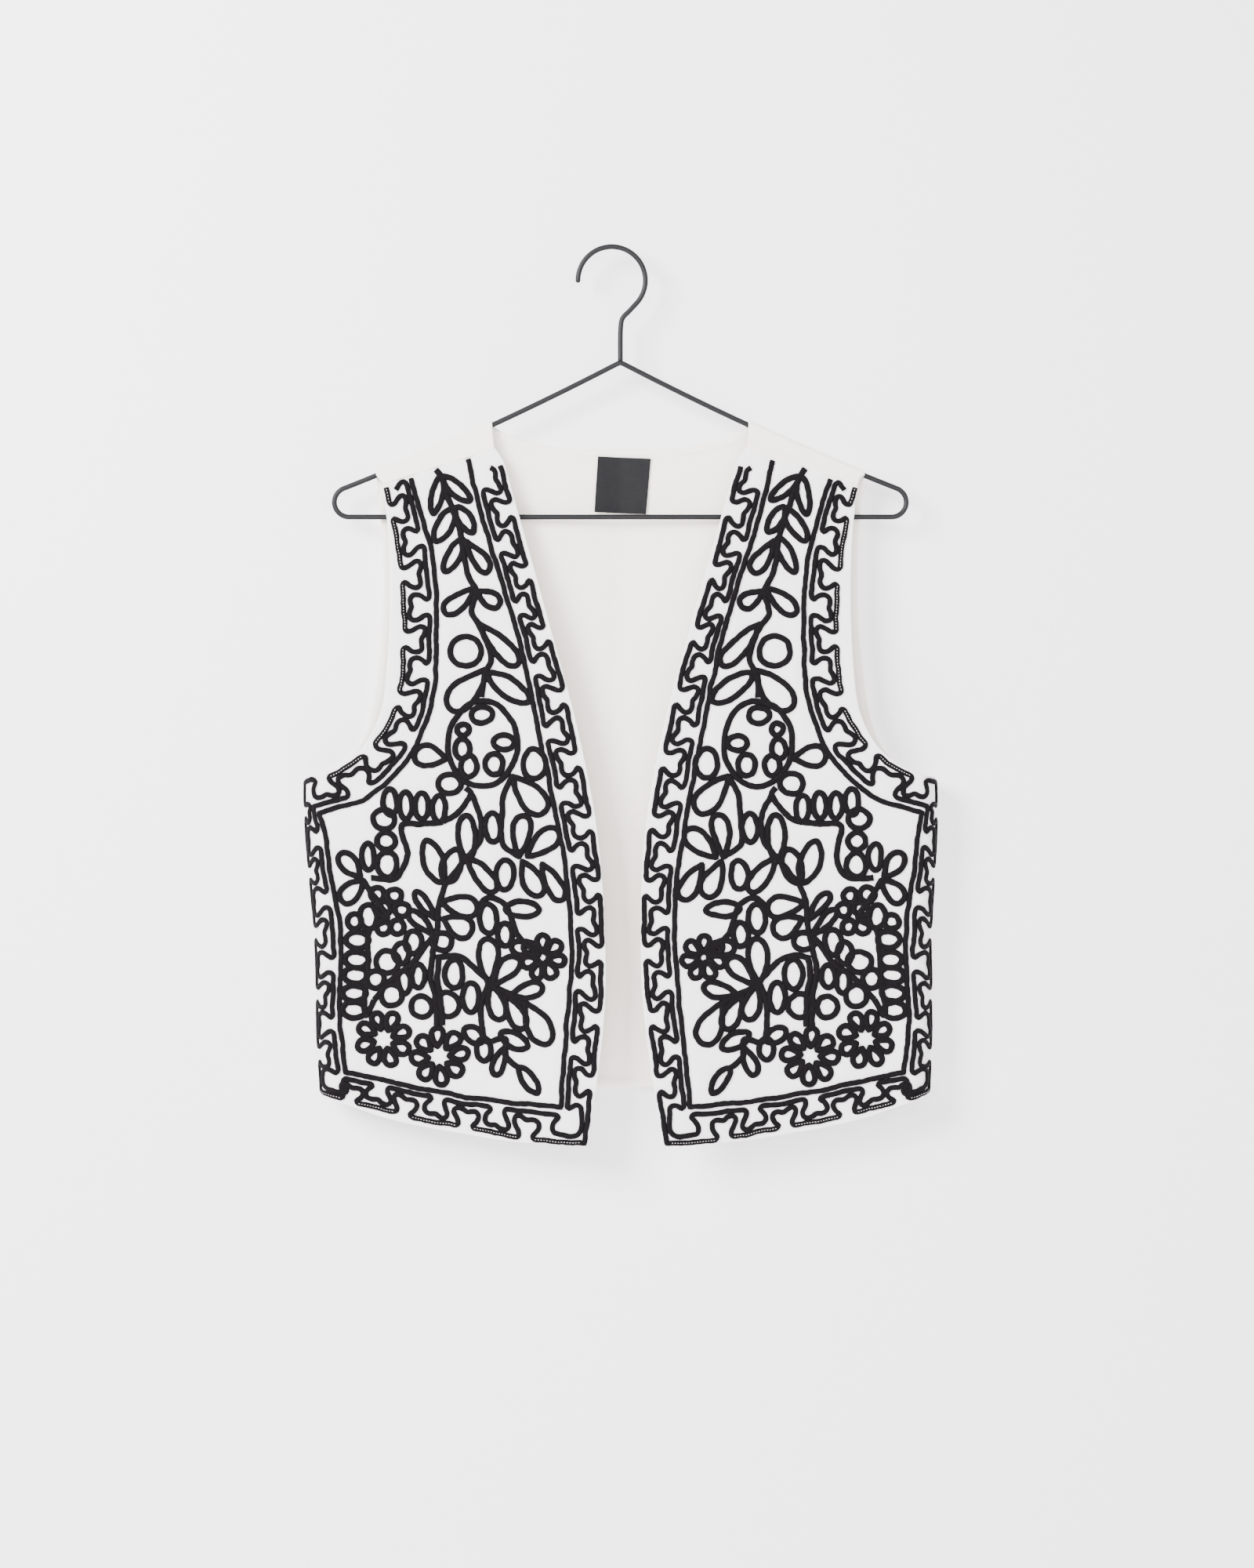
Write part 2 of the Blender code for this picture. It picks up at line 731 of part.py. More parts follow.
def make_front(panel, side, material, parent):
    """A front panel with its raised embroidery."""
    runs = front_runs()
    seam_top = np.array(SHOULDER_SEAM[0]) + (0.0, SEAM_GAP / 2)
    seam_end = np.array(SHOULDER_SEAM[1]) + (0.0, SEAM_GAP / 2)
    seam = [seam_end + (seam_top - seam_end) * k / 6 for k in range(7)]
    runs["armhole"][-1] = seam[0]
    runs["opening"][0] = seam[-1]
    outline = []
    for line in (runs["opening"], runs["hem"], runs["side"], runs["armhole"], seam):
        outline += line[:-1]
    ridges = embroidery_lines()
    starts, ends = segments_of(ridges)
    shoulders = []
    for ridge in ridges:
        shoulders += [offset_line(ridge, CORD_WIDTH / 2), offset_line(ridge, -CORD_WIDTH / 2)]

    def relief(flat):
        near = distances(flat, starts, ends)
        return CORD_HEIGHT * np.maximum(0.0, 1.0 - near / (CORD_WIDTH / 2))

    def plain(flat):
        return np.zeros(len(flat))

    place = front_surface(panel, side)
    turns = turn_lines((12, 42, 76))
    outer_lines = ridges + shoulders + turns
    shape = sheet_solid(outline, place, -side, outer_lines, relief, turns, plain)
    return add_mesh_object(panel, *shape, material, parent)


def back_outline():
    """The back's edges on its chart, with both shoulder strips, as runs of (x, s) points."""
    depths = np.linspace(BACK_HEM_DEPTH, BACK_ARMHOLE[0].d, 15)
    side = side_seam(BACK_TURN, depths)
    armhole = curve_through(BACK_ARMHOLE, OUTLINE_STEP)
    armhole[0] = side[-1]
    turn_steps = np.linspace(0.0, math.pi * FOLD_RADIUS, 6)
    outer_end = [np.array((STRIP_OUTER_U, arm_depth(STRIP_OUTER_U) - past)) for past in turn_steps]
    inner_end = [np.array((STRIP_INNER_U, arm_depth(STRIP_INNER_U) - past)) for past in turn_steps]
    arc = math.pi * FOLD_RADIUS
    seam = []
    for k in range(7):
        inner, outer = SHOULDER_SEAM
        u = outer.u + (inner.u - outer.u) * k / 6
        d = outer.d + (inner.d - outer.d) * k / 6 - SEAM_GAP / 2
        seam.append(np.array((u, 2 * arm_depth(u) - arc - d)))
    neck = curve_through(BACK_NECK, OUTLINE_STEP)
    hem_end = side[0]
    half_hem = [np.array((hem_end[0] * k / 12, BACK_HEM_DEPTH)) for k in range(1, 12)]
    right = half_hem + side[:-1] + armhole + outer_end + seam + inner_end[::-1] + neck[::-1]
    right = [np.array((point[0], -point[1])) for point in right]
    left = [point * (-1.0, 1.0) for point in right[-2::-1]]
    return right + left + [np.array((0.0, -BACK_HEM_DEPTH))]


def strip_lines():
    """Rows of points over the shoulder wire, so that the strips bend evenly round it."""
    lines = []
    for side in (-1.0, 1.0):
        for past in np.linspace(0.0, math.pi * FOLD_RADIUS, 6):
            us = np.linspace(STRIP_INNER_U + 2.0, STRIP_OUTER_U - 2.0, 6)
            lines.append([np.array((side * u, past - arm_depth(u))) for u in us])
    return lines


def make_back(material, parent):
    """The back panel with its shoulder strips and turned hems."""
    outline = back_outline()
    loop = outline + [outline[0]]
    starts, ends = segments_of([loop])
    bends = strip_lines()
    for line in turn_lines((8, 38)):
        bends += [[np.array((side * u, -d)) for u, d in line] for side in (-1.0, 1.0)]

    def plain(flat):
        return np.zeros(len(flat))

    def turned_hem(flat):
        near = distances(flat, starts, ends)
        drop = -flat[:, 1] - arm_depth(np.abs(flat[:, 0]))
        clear_of_wire = np.clip((drop - WIRE_RADIUS) / HEM_WIDTH, 0.0, 1.0)
        within = np.clip((HEM_WIDTH + HEM_SLOPE - near) / HEM_SLOPE, 0.0, 1.0)
        return HEM_EXTRA * clear_of_wire * within

    hems = hem_lines(HEM_WIDTH) + hem_lines(HEM_WIDTH + HEM_SLOPE)
    shape = sheet_solid(outline, back_surface, -1.0, bends, plain, bends + hems, turned_hem)
    return add_mesh_object("back", *shape, material, parent)


def hem_lines(inset):
    """Lines at one distance inside the back's hem, armholes and neck."""
    lines = []
    armhole = curve_through(BACK_ARMHOLE[1:], OUTLINE_STEP)
    neck = curve_through(BACK_NECK, OUTLINE_STEP)
    for side in (-1.0, 1.0):
        inner = offset_line(armhole, inset)
        lines.append([np.array((side * u, -d)) for u, d in inner])
    whole_neck = [np.array((-u, d)) for u, d in neck[:0:-1]] + neck
    lowered = offset_line(whole_neck, -inset)
    lines.append([np.array((x, -d)) for x, d in lowered])
    reach = side_seam(BACK_TURN, [BACK_HEM_DEPTH])[0][0] - 2.0
    xs = np.linspace(-reach, reach, 19)
    lines.append([np.array((x, inset - BACK_HEM_DEPTH)) for x in xs])
    return lines


def make_label(material, parent):
    """The folded label, laid on the back's inner side and a little away at its foot."""
    columns, rows = 7, 7
    outer_skin, inner_skin = [], []
    for row in range(rows):
        down = row / (rows - 1)
        for column in range(columns):
            over = column / (columns - 1)
            top_x = LABEL_TOP[0].x + (LABEL_TOP[1].x - LABEL_TOP[0].x) * over
            top_d = LABEL_TOP[0].d + (LABEL_TOP[1].d - LABEL_TOP[0].d) * over
            foot_x = LABEL_FOOT[0].x + (LABEL_FOOT[1].x - LABEL_FOOT[0].x) * over
            foot_d = LABEL_FOOT[0].d + (LABEL_FOOT[1].d - LABEL_FOOT[0].d) * over
            x = top_x + (foot_x - top_x) * down
            s = -(top_d + (foot_d - top_d) * down)
            normal = surface_normal(back_surface, x, s, 1.0)
            lift = CLOTH / 2 + SEAM_GAP + HEM_EXTRA * (1 - down) + LABEL_LIFT * down**2
            outer_skin.append(back_surface(x, s) + (lift + LABEL_THICKNESS) * normal)
            inner_skin.append(back_surface(x, s) + lift * normal)
    faces = []
    for skin, first in enumerate((0, rows * columns)):
        for row in range(rows - 1):
            for column in range(columns - 1):
                a = first + row * columns + column
                quad = (a, a + 1, a + columns + 1, a + columns)
                faces.append(quad if skin == 0 else quad[::-1])
    rim = [column for column in range(columns)]
    rim += [row * columns + columns - 1 for row in range(1, rows)]
    rim += [(rows - 1) * columns + column for column in range(columns - 2, -1, -1)]
    rim += [row * columns for row in range(rows - 2, 0, -1)]
    for k, corner in enumerate(rim):
        after = rim[(k + 1) % len(rim)]
        faces.append((corner, after, after + rows * columns, corner + rows * columns))
    return add_mesh_object("label", outer_skin + inner_skin, faces, material, parent)


def tube(points, radius, closed):
    """Rings of points round a flat path in the wire's plane, joined to a tube."""
    rings = []
    count = len(points)
    for at, point in enumerate(points):
        before = points[at - 1] if closed or at else point
        after = points[(at + 1) % count] if closed or at < count - 1 else point
        way = after - before
        way = way / np.linalg.norm(way)
        across = np.array((way[1], -way[0]))
        for k in range(TUBE_SIDES):
            angle = math.tau * (k + 0.5) / TUBE_SIDES
            flat = point + radius * math.cos(angle) * across
            rings.append(np.array((flat[0], radius * math.sin(angle), flat[1])))
    faces = []
    for at in range(count if closed else count - 1):
        for k in range(TUBE_SIDES):
            n = (k + 1) % TUBE_SIDES
            here, there = at * TUBE_SIDES, (at + 1) % count * TUBE_SIDES
            faces.append((here + k, here + n, there + n, there + k))
    if not closed:
        faces.append(tuple(range(TUBE_SIDES)))
        faces.append(tuple(range(len(rings) - 1, len(rings) - 1 - TUBE_SIDES, -1)))
    return rings, faces


def make_hook(material, parent):
    """The hook and neck, down to just above the two arms."""
    centre = np.array((-CENTRE_LINE_X, WIRE_RADIUS - CROWN_RADIUS))
    points = []
    for step in range(19):
        angle = math.radians(180 - HOOK_SWEEP * step / 18)
        points.append(centre + CROWN_RADIUS * np.array((math.cos(angle), math.sin(angle))))
    neck_top, neck_foot = [np.array(point) for point in NECK_BEND]
    bend = [points[-1], (points[-1] + neck_top) / 2, neck_top, neck_foot]
    points = points[:-1] + curve_through(bend, 5.0)
    frame_top = APEX_DEPTH + APEX_FLAT - WIRE_RADIUS * math.cos(math.pi / TUBE_SIDES)
    points.append(np.array((0.0, SEAM_GAP - frame_top)))
    shape = tube(points, WIRE_RADIUS, False)
    return add_mesh_object("hanger_hook", *shape, material, parent)


def make_frame(material, parent):
    """The arms, their round ends and the trouser bar, as one closed wire."""
    slope = ARM_SLOPE - 2 * ARM_BOW * ARM_END_U
    lean = math.atan(slope)
    touch = ARM_END_U + ARM_END_RADIUS * math.sin(lean)
    centre_d = arm_depth(touch) + ARM_END_RADIUS * math.cos(lean)
    half = [np.array((u, -arm_depth(u))) for u in np.linspace(6.0, touch - 4.0, 14)]
    steps = 10
    for step in range(steps + 1):
        angle = math.pi / 2 - lean - (math.pi - lean) * step / steps
        way = np.array((math.cos(angle), math.sin(angle)))
        half.append(np.array((ARM_END_U, -centre_d)) + ARM_END_RADIUS * way)
    bar = -centre_d - ARM_END_RADIUS
    half += [np.array((u, bar)) for u in np.linspace(ARM_END_U - BAR_ROUNDING, 20.0, 7)]
    mirrored = [point * (-1.0, 1.0) for point in half[::-1]]
    apex = np.array((0.0, -arm_depth(0.0) - APEX_FLAT))
    shape = tube([apex] + half + mirrored, WIRE_RADIUS, True)
    return add_mesh_object("hanger_frame", *shape, material, parent)


def main():
    """Builds the vest and its hanger."""
    remove_old_objects()
    centre_line = bpy.data.objects.new("centre_line", None)
    centre_line.location = (MM * CENTRE_LINE_X, 0.0, 0.0)
    bpy.context.collection.objects.link(centre_line)
    front_cloth = make_material("embroidered_cotton", (0.84, 0.82, 0.81), 0.85, 0.0)
    back_cloth = make_material("plain_cotton", (0.88, 0.85, 0.79), 0.85, 0.0)
    black_ribbon = make_material("woven_label", (0.02, 0.02, 0.022), 0.5, 0.0)
    black_wire = make_material("coated_wire", (0.02, 0.02, 0.022), 0.35, 0.0)
    make_hook(black_wire, centre_line)
    make_frame(black_wire, centre_line)
    make_back(back_cloth, centre_line)
    make_label(black_ribbon, centre_line)
    make_front("front_left", -1.0, front_cloth, centre_line)
    make_front("front_right", 1.0, front_cloth, centre_line)
    bpy.context.view_layer.update()


main()
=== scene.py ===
"""Embroidered cotton vest on a black wire hanger, seen against a pale wall.

The cloth is drawn on flat charts in millimetres: u is the way out from the garment's centre line
along the cloth, and d the way down from the crown of the hook. Functions bend the charts to the
hung form. Cords and stitches are laid on that form with Geometry Nodes.
"""

import math
from collections import namedtuple

import bpy
import numpy as np
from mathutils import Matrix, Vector, noise
from mathutils.geometry import delaunay_2d_cdt
from mathutils.kdtree import KDTree


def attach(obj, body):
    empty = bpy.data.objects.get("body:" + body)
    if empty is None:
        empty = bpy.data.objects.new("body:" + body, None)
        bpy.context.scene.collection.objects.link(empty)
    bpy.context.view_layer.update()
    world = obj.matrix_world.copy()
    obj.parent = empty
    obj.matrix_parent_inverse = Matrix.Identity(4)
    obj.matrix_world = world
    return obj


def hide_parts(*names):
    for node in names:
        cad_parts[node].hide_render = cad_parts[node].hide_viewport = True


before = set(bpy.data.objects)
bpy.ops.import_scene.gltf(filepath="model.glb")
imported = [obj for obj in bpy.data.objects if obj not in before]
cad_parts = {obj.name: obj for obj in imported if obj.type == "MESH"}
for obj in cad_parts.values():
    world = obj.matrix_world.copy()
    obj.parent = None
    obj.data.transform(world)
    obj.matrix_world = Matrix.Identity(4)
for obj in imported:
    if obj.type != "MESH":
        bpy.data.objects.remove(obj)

bl_info = {
    "name": "Embroidered vest",
    "version": (1, 0, 0),
    "blender": (4, 5, 0),
    "location": "View3D > Sidebar > Vest",
    "description": "Builds a hung folk vest with cord embroidery, its hanger and a plain stage",
    "category": "Object",
}

MM = 0.001

# The hung form, in millimetres
WIRE_RADIUS = 2.0
CROWN_RADIUS = 25.8
CENTRE_LINE_X = 6.6
APEX_DEPTH = 86.4
ARM_SLOPE = 0.52
ARM_BOW = 0.0003
ARM_END_RADIUS = 11.3
ARM_END_U = 207.6
FOLD_RADIUS = 3.3
TURN_FROM = 225.0
FRONT_TURN = math.radians(110)
BACK_TURN = math.radians(70)
BACK_HEM_DEPTH = 642.0
SWAY = 3.8
SWAY_FROM = 350.0
SWAY_OVER = 335.0
FRONT_KICK = 8.0
KICK_FROM = 470.0
KICK_OVER = 200.0
KICK_WIDTH = 150.0
CALM_DEPTH = 190.0
CALM_OVER = 40.0
TURN_EASE = 30.0
HEM_WIDTH = 6.5
HEM_EXTRA = 0.45
SEAM_LAP = 1.4
OUTLINE_STEP = 3.0
MITRE_LIMIT = 0.45
INNER_CORD = 0.775
CORNER_CORD = 0.255
CORD_GAP = 4.0
CORD_START = 12.0
CORD_END = 2.0
KEY_PERIOD = 48.6
FILL_STEP = 8.0
PATH_STEP = 4.0
STITCH_FROM_KEY = 8.0
STITCH_FROM_CORNER = 4.0
STITCH_ROW_POINTS = 9
PETAL_WIDTH = 0.66
HAND_SWAY = 1.1
CORD_REST = 0.33
HOOK_SWEEP = 222.0
NECK_BEND = ((1.6, -53.0), (0.3, -60.0))

Belly = namedtuple("Belly", "drop extra")
BELLY = [
    Belly(0, 0.0),
    Belly(35, 2.6),
    Belly(80, 5.5),
    Belly(150, 9.3),
    Belly(215, 11.7),
    Belly(600, 11.7),
]

Width = namedtuple("Width", "d half_width")
SIDE_WIDTH = [
    Width(400, 240.3),
    Width(440, 240.0),
    Width(485, 237.0),
    Width(524, 234.2),
    Width(565, 233.6),
    Width(604, 233.2),
    Width(645, 231.4),
]

Spot = namedtuple("Spot", "u d")
FRONT_OPENING = [
    Spot(96.1, 152.0),
    Spot(89.1, 162.8),
    Spot(82.7, 185.0),
    Spot(76.6, 206.5),
    Spot(55.0, 283.2),
    Spot(32.4, 367.2),
    Spot(18.2, 445.2),
    Spot(13.5, 523.2),
    Spot(15.4, 589.2),
    Spot(28.7, 684.8),
]
FRONT_HEM = [
    Spot(28.7, 684.8),
    Spot(59.6, 682.7),
    Spot(90.2, 680.3),
    Spot(120.9, 675.7),
    Spot(151.5, 670.3),
    Spot(182.0, 663.4),
    Spot(204.9, 655.7),
    Spot(231.9, 646.8),
    Spot(245.2, 642.2),
]
FRONT_ARMHOLE = [
    Spot(254.1, 404.0),
    Spot(232.0, 402.4),
    Spot(217.9, 397.4),
    Spot(199.6, 384.6),
    Spot(188.4, 369.0),
    Spot(181.2, 349.2),
    Spot(177.6, 319.2),
    Spot(176.1, 289.2),
    Spot(175.8, 259.2),
    Spot(176.6, 229.2),
    Spot(178.4, 205.8),
    Spot(182.0, 179.2),
]
BACK_ARMHOLE = [
    Spot(243.6, 404.0),
    Spot(229.0, 402.0),
    Spot(214.8, 394.5),
    Spot(200.4, 379.2),
    Spot(192.6, 358.2),
    Spot(187.2, 325.2),
    Spot(183.6, 289.2),
    Spot(182.2, 259.2),
    Spot(182.8, 223.2),
    Spot(185.1, 187.2),
]
BACK_NECK = [
    Spot(0.0, 152.1),
    Spot(41.7, 151.6),
    Spot(60.9, 149.1),
    Spot(78.9, 144.4),
    Spot(91.5, 139.0),
]
STRIP_OUTER_U = 186.8
STRIP_INNER_U = 98.0
SHOULDER_SEAM = (Spot(96.1, 152.0), Spot(182.0, 179.2))

# Soft troughs in the hung cloth; slope is how far u goes for each millimetre of d
Fold = namedtuple("Fold", "u d half_length half_width depth slope")
FOLDS = {
    "front_left": [
        Fold(60, 505, 70, 16, 2.2, -0.45),
        Fold(150, 470, 90, 26, 1.8, 0.25),
        Fold(196, 560, 80, 20, 1.6, -0.10),
        Fold(105, 300, 80, 24, 1.6, -0.30),
        Fold(110, 640, 60, 30, 1.8, 0.30),
    ],
    "front_right": [
        Fold(66, 520, 75, 17, 1.9, -0.35),
        Fold(140, 440, 90, 24, 2.0, 0.30),
        Fold(200, 590, 80, 20, 1.7, 0.08),
        Fold(112, 280, 75, 22, 1.5, -0.25),
        Fold(90, 625, 60, 26, 1.6, 0.20),
    ],
    "back": [
        Fold(0, 300, 150, 9, -1.3, 0.01),
        Fold(-14, 560, 90, 10, 2.4, 0.03),
        Fold(22, 590, 80, 12, 2.0, -0.05),
        Fold(85, 330, 90, 30, 2.0, 0.25),
        Fold(-90, 360, 110, 34, 2.2, -0.22),
        Fold(130, 530, 110, 30, 2.0, 0.10),
        Fold(-135, 540, 110, 28, 1.8, -0.08),
        Fold(-45, 220, 70, 26, 1.2, -0.30),
    ],
}

# Narrow pressed or pulled creases, laid on top of the folds
CREASES = {
    "front_left": [
        Fold(62, 512, 24, 4.0, -0.9, -0.55),
        Fold(126, 300, 40, 4.5, -0.5, -0.20),
        Fold(60, 640, 30, 5.0, -0.6, 0.35),
        Fold(205, 500, 34, 5.0, -0.6, 0.10),
        Fold(150, 205, 26, 4.0, 0.5, 0.15),
    ],
    "front_right": [
        Fold(58, 528, 22, 4.0, -0.8, -0.50),
        Fold(132, 320, 38, 4.5, -0.6, -0.15),
        Fold(70, 655, 26, 5.0, -0.5, 0.30),
        Fold(210, 470, 34, 5.0, -0.7, 0.05),
        Fold(146, 210, 24, 4.0, 0.5, 0.20),
    ],
    "back": [
        Fold(-1, 330, 170, 1.6, 0.55, 0.0),
        Fold(62, 232, 20, 3.0, 0.6, -0.75),
        Fold(-46, 250, 34, 5.0, 0.4, 0.25),
        Fold(8, 470, 60, 5.0, 0.5, 0.05),
        Fold(-20, 610, 34, 4.0, -0.9, 0.06),
        Fold(16, 618, 30, 5.0, -0.8, -0.05),
        Fold(110, 300, 50, 6.0, 0.6, 0.25),
        Fold(-120, 330, 60, 6.0, 0.6, -0.20),
        Fold(60, 600, 40, 7.0, 0.7, 0.05),
        Fold(-95, 600, 40, 7.0, 0.7, -0.05),
        Fold(160, 480, 60, 7.0, 0.7, 0.12),
        Fold(-165, 500, 60, 7.0, 0.7, -0.12),
    ],
}

LabelCorner = namedtuple("LabelCorner", "x d")
LABEL_TOP = (LabelCorner(-17.3, 157.8), LabelCorner(23.4, 159.6))
LABEL_FOOT = (LabelCorner(-20.1, 200.0), LabelCorner(19.8, 201.6))
LABEL_LIFT = 1.3

# Cord border: which way round the keys are, and their middles along each run of the outer cord
Run = namedtuple("Run", "name turn middles")
RUNS = [
    Run("opening", 1, (46.5, 96.1, 145.6, 195.2, 244.3, 292.8, 342.6, 392.6, 442.4, 491.7)),
    Run("hem", -1, (44.7, 92.1, 140.1, 182.2)),
    Run("side", -1, (26.6, 72.8, 119.4, 165.8, 212.4)),
    Run("armhole", -1, (19.8, 61.6, 106.3, 153.2, 201.4, 251.0)),
]

# The runs of the outer cord and of the frame cord on the chart of a front
OUTER_LINE = {
    "opening": [
        Spot(94.6, 154.8), Spot(88.5, 178.4), Spot(76.6, 223.0), Spot(63.6, 271.3),
        Spot(49.1, 317.0), Spot(38.0, 365.5), Spot(28.0, 413.3), Spot(19.9, 462.0),
        Spot(16.4, 512.0), Spot(17.5, 562.0), Spot(22.5, 612.5), Spot(31.0, 681.9),
    ],
    "hem": [
        Spot(31.0, 681.9), Spot(68.6, 679.2), Spot(99.3, 673.8), Spot(146.0, 665.7),
        Spot(175.0, 658.8), Spot(204.8, 651.0), Spot(236.5, 642.5),
    ],
    "side": [
        Spot(236.5, 642.5), Spot(239.0, 604.0), Spot(239.4, 565.0), Spot(240.0, 524.0),
        Spot(242.8, 485.0), Spot(245.8, 440.0), Spot(246.5, 408.5),
    ],
    "armhole": [
        Spot(246.5, 408.5), Spot(221.8, 403.4), Spot(208.9, 396.8), Spot(187.0, 378.5),
        Spot(170.7, 352.3), Spot(164.9, 306.0), Spot(165.2, 270.0), Spot(168.8, 232.0),
        Spot(173.8, 204.0), Spot(179.6, 180.7),
    ],
}
FRAME_LINE = {
    "opening": [
        Spot(116.5, 161.5), Spot(105.4, 206.5), Spot(91.4, 250.7), Spot(77.5, 298.0),
        Spot(66.5, 349.0), Spot(52.4, 418.7), Spot(41.5, 482.9), Spot(39.3, 536.4),
        Spot(43.0, 585.1), Spot(46.1, 620.0), Spot(49.4, 654.4),
    ],
    "hem": [
        Spot(49.4, 654.4), Spot(111.5, 648.4), Spot(157.3, 640.1), Spot(187.8, 633.6),
        Spot(212.2, 629.0),
    ],
    "side": [
        Spot(212.2, 629.0), Spot(213.9, 616.0), Spot(216.6, 585.4), Spot(215.3, 554.8),
        Spot(215.0, 524.2), Spot(217.9, 498.2), Spot(222.1, 475.3), Spot(224.8, 452.3),
        Spot(228.9, 431.2),
    ],
    "armhole": [
        Spot(228.9, 431.2), Spot(218.4, 427.9), Spot(195.4, 421.0), Spot(180.0, 409.5),
        Spot(159.9, 388.1), Spot(147.6, 360.6), Spot(141.5, 337.6), Spot(139.8, 300.0),
        Spot(140.5, 259.5), Spot(143.8, 234.2), Spot(150.8, 206.4), Spot(160.5, 175.0),
    ],
}

# One key of the border cord: share of its reach, and along from the key's middle
KeyPoint = namedtuple("KeyPoint", "share along")
KEY = [
    KeyPoint(0.0, -7.6),
    KeyPoint(0.1, -5.9),
    KeyPoint(0.3, -6.2),
    KeyPoint(0.52, -8.4),
    KeyPoint(0.74, -10.2),
    KeyPoint(0.94, -9.6),
    KeyPoint(1.02, -7.2),
    KeyPoint(0.97, -3.4),
    KeyPoint(0.86, 0.2),
    KeyPoint(0.9, 4.0),
    KeyPoint(0.88, 7.6),
    KeyPoint(0.72, 9.8),
    KeyPoint(0.5, 9.7),
    KeyPoint(0.3, 8.0),
    KeyPoint(0.12, 5.8),
    KeyPoint(0.0, 7.6),
]

# Where the inner cord starts or ends with a part of a key: the key's middle, and its rows
PartKey = namedtuple("PartKey", "middle start end")
PART_KEYS = {
    "opening": [PartKey(21.5, 4, 16), PartKey(518.9, 0, 6)],
    "hem": [PartKey(15.8, 10, 16), PartKey(195.0, 0, 7)],
    "side": [PartKey(6.0, 10, 16)],
    "armhole": [PartKey(276.0, 0, 5)],
}

# Embroidered leaves: where each grows, where it ends, its width, and 1 where its tip is pointed
Leaf = namedtuple("Leaf", "root_u root_d tip_u tip_d width pointed")
LEAVES = [
    Leaf(137.0, 174.9, 142.3, 202.9, 9, 1),
    Leaf(135.4, 174.9, 115.2, 192.5, 9, 1),
    Leaf(126.6, 199.5, 141.4, 224.0, 11, 1),
    Leaf(124.8, 197.8, 112.6, 217.0, 10, 1),
    Leaf(120.4, 222.2, 133.6, 247.5, 10, 1),
    Leaf(117.8, 224.0, 100.3, 247.5, 11, 0),
    Leaf(110.8, 259.8, 133.6, 279.1, 12, 0),
    Leaf(109.1, 262.4, 91.6, 273.0, 11, 0),
    Leaf(107.3, 286.9, 77.6, 318.5, 13, 0),
    Leaf(102.0, 322.0, 130.1, 351.7, 19, 0),
    Leaf(100.3, 325.5, 69.7, 346.4, 14, 1),
    Leaf(131.9, 390.1, 156.1, 386.5, 15, 0),
    Leaf(81.7, 403.2, 58.2, 430.7, 18, 0),
    Leaf(78.4, 464.5, 74.0, 432.9, 13, 0),
    Leaf(72.4, 464.5, 48.4, 444.7, 15, 0),
    Leaf(76.4, 468.3, 62.8, 494.2, 15, 0),
    Leaf(60.6, 470.5, 45.1, 497.2, 13, 0),
    Leaf(117.9, 464.5, 96.6, 490.3, 13, 0),
    Leaf(137.5, 484.3, 149.1, 452.7, 15, 1),
    Leaf(133.7, 484.4, 125.7, 458.7, 14, 1),
    Leaf(137.8, 499.9, 110.2, 504.1, 15, 0),
    Leaf(136.1, 511.8, 114.7, 522.0, 16, 0),
    Leaf(142.1, 511.8, 157.5, 492.1, 8, 0),
    Leaf(144.6, 523.8, 162.1, 505.9, 8, 0),
    Leaf(199.2, 480.2, 213.8, 462.3, 12, 0),
    Leaf(197.1, 482.4, 213.2, 498.1, 13, 0),
    Leaf(89.3, 504.1, 63.3, 505.1, 11, 1),
    Leaf(103.0, 561.2, 102.1, 527.3, 15, 0),
    Leaf(99.5, 561.4, 80.5, 541.7, 13, 0),
    Leaf(101.5, 561.4, 94.0, 588.2, 13, 0),
    Leaf(90.0, 569.5, 76.4, 595.2, 12, 0),
    Leaf(74.3, 575.4, 58.9, 606.1, 18, 0),
    Leaf(86.1, 569.5, 61.3, 563.5, 11, 0),
    Leaf(108.4, 604.9, 122.2, 595.2, 11, 1),
    Leaf(94.5, 599.0, 73.8, 609.1, 11, 1),
    Leaf(90.7, 609.1, 98.9, 629.8, 9, 0),
    Leaf(79.6, 625.2, 66.0, 643.7, 9, 1),
]

